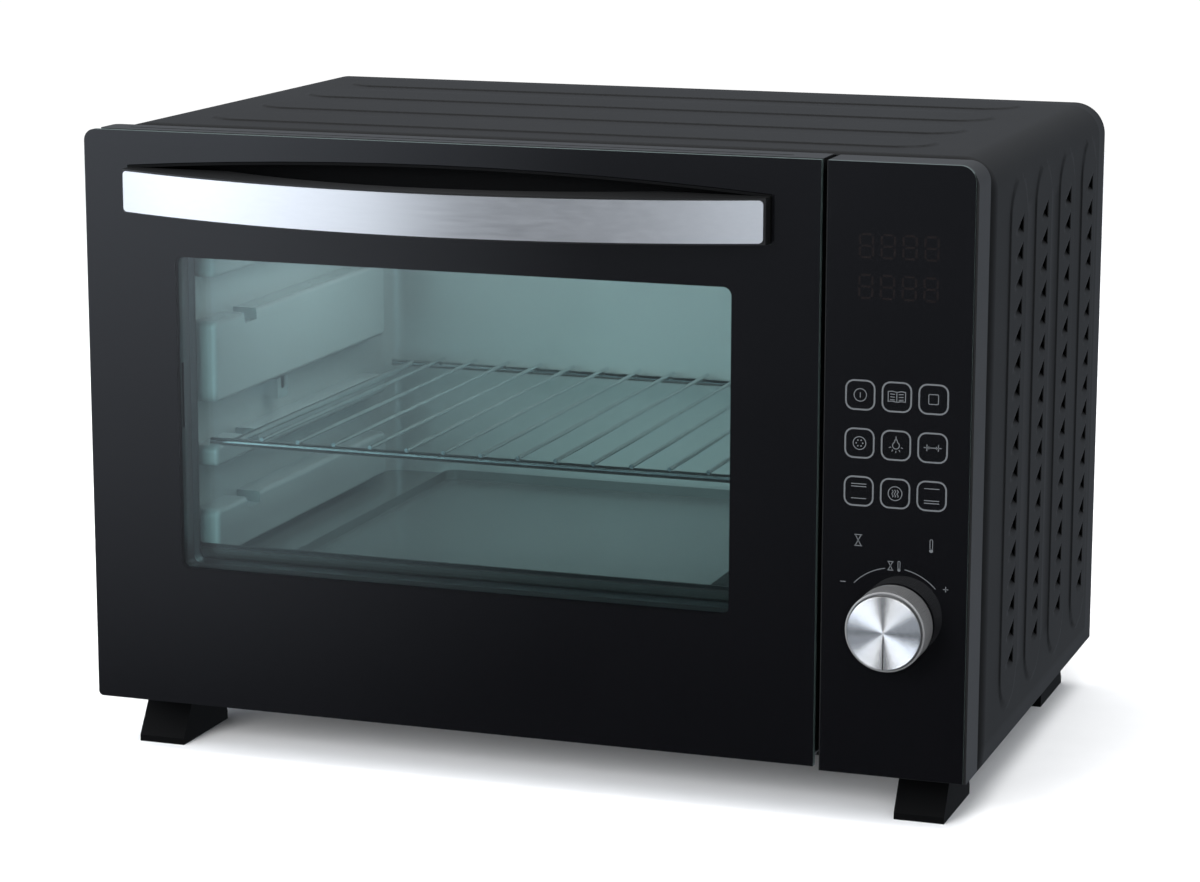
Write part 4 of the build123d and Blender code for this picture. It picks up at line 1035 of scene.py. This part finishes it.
# %% [markdown]
# The studio: a white floor and a white dome behind it, which only the camera sees, so that the
# black glass keeps its dark, even reflections. The surroundings are soft and grey, bright at the
# left and right and above, and dark in front, where the black glass faces.

# %% Floor, backdrop and surroundings
FLOOR_RADIUS = 3.2
DOME_RADIUS = 12.0
DOME_LEVEL = 1.05
# Brightness of the air from the left of the oven (0) to its right (1); a ramp's colours stop
# at 1, so they hold a share of the brightness.
SIDE_STOPS = (
    (0.0, 1.05), (0.15, 1.15), (0.25, 1.4), (0.29, 1.3), (0.335, 0.30), (0.40, 0.17),
    (0.50, 0.24), (0.64, 0.34), (0.74, 1.0), (0.82, 0.9), (0.92, 0.25), (1.0, 0.12),
)
RAMP_SCALE = 2
GROUND_EDGE = (-0.27, -0.10)    # where the air darkens towards the ground
GROUND_LEVEL = 0.12
BACK_EDGE = (-0.2, 0.4)         # where the even light behind the oven takes over
BACK_LEVEL = 0.33
ABOVE_EDGE = (0.15, 0.9)
ABOVE_LEVEL = 0.25
LAMP_DIRECTIONS = ((-0.80, -0.47, 0.36), (0.26, -0.74, 0.62))
LAMP_EDGE = (0.86, 0.97)        # how far off a lamp's direction it fades in, as a cosine
LAMP_LEVEL = 2.6
COOL_AIR = (0.87, 0.95, 1.07, 1)


def studio_white(name, level):
    white = Finish(name)
    shader = white.node("ShaderNodeEmission", None, {"Color": (1, 1, 1, 1), "Strength": level}).outputs[0]
    return white.finished(shader)


def floor_white():
    white = Finish("floor_white")
    speck = white.noise(40.0, 3.0)
    colour = white.mix(speck, grey(0.86), grey(0.90))
    return white.finished(white.body(Base_Color=colour, Roughness=0.7 + 0.1 * speck))


bpy.ops.mesh.primitive_circle_add(vertices=96, radius=FLOOR_RADIUS, fill_type="NGON", location=(0, 0, 0))
floor = bpy.context.object
floor.name = "studio_floor"
floor.data.materials.append(floor_white())
bpy.ops.mesh.primitive_uv_sphere_add(radius=DOME_RADIUS, segments=48, ring_count=24)
dome = bpy.context.object
dome.name = "studio_dome"
dome.data.materials.append(studio_white("dome_white", DOME_LEVEL))
for prop in (floor, dome):
    prop.visible_glossy = False
    prop.visible_transmission = False
dome.visible_diffuse = False
dome.visible_shadow = False


def surroundings():
    world = bpy.data.worlds.new("studio_air")
    bpy.context.scene.world = world
    air = Finish("studio_air", world)
    direction = air.node("ShaderNodeTexCoord").outputs["Generated"]
    across, behind, upward = air.axes(direction)
    stops = [(at, grey(value / RAMP_SCALE)) for at, value in SIDE_STOPS]
    sides = air.node("ShaderNodeValToRGB", {"stops": stops}, {0: across * 0.5 + 0.5}).outputs[0]
    ground = GROUND_LEVEL + (1 - GROUND_LEVEL) * upward.between(*GROUND_EDGE)
    back = behind.between(*BACK_EDGE)
    above = upward.between(*ABOVE_EDGE)
    strength = RAMP_SCALE * air.axes(sides)[0] * ground * (1 - back) + BACK_LEVEL * back
    strength = strength + ABOVE_LEVEL * above
    for place in LAMP_DIRECTIONS:
        inputs = {0: direction, 1: place}
        facing = air.level("ShaderNodeVectorMath", {"operation": "DOT_PRODUCT"}, inputs, "Value")
        strength = strength + LAMP_LEVEL * facing.between(*LAMP_EDGE)
    cool = air.mix(above, COOL_AIR, (1, 1, 1, 1))
    glow = air.node("ShaderNodeBackground", None, {"Color": cool, "Strength": strength})
    air.finished(glow.outputs[0])


surroundings()


# %% [markdown]
# Soft boxes light the oven: a large one above, one at the left front that reaches into the
# cavity through the window, and a low one at the right that shows the ribs and louvres.

# %% Lights
# Each light's name, place, target, width, height and watts.
LIGHTS = (
    ("overhead", (0.0, 0.1, 2.2), (0, 0.05, 0.3), 2.4, 2.4, 60),
    ("window_fill", (-0.6, -2.1, 0.8), (-0.03, 0.05, 0.25), 0.9, 0.9, 60),
    ("side_fill", (2.2, -0.4, 0.8), (0.25, 0.0, 0.2), 1.2, 1.2, 7),
    ("oven_lamp", (-0.03, 0.03, 0.328), (-0.03, 0.04, 0.1), 0.30, 0.24, 0.86),
)


def soft_box(name, place, target, width, height, power):
    data = bpy.data.lights.new(name, "AREA")
    data.shape = "RECTANGLE"
    data.size, data.size_y = width, height
    data.energy = power
    box = bpy.data.objects.new(name, data)
    box.location = place
    box.rotation_euler = (Vector(target) - Vector(place)).to_track_quat("-Z", "Y").to_euler()
    box.visible_glossy = False
    bpy.context.scene.collection.objects.link(box)


for light in LIGHTS:
    soft_box(*light)
print("studio ready")

# %% [markdown]
# The camera stands a little above the oven and to its right, far enough away for gentle
# perspective.

# %% Camera
CAMERA_PLACE = (0.70607, -2.03491, 0.61961)
CAMERA_TURN = (78.54, -0.1, 19.17)
CAMERA_LENS = 105.06
SENSOR = 36.0

camera_data = bpy.data.cameras.new("studio_camera")
camera_data.lens = CAMERA_LENS
camera_data.sensor_fit = "HORIZONTAL"
camera_data.sensor_width = SENSOR
camera = bpy.data.objects.new("studio_camera", camera_data)
camera.location = CAMERA_PLACE
camera.rotation_euler = [math.radians(angle) for angle in CAMERA_TURN]
bpy.context.scene.collection.objects.link(camera)
bpy.context.scene.camera = camera
bpy.context.scene.view_settings.view_transform = "Standard"
print("camera", tuple(camera.location))
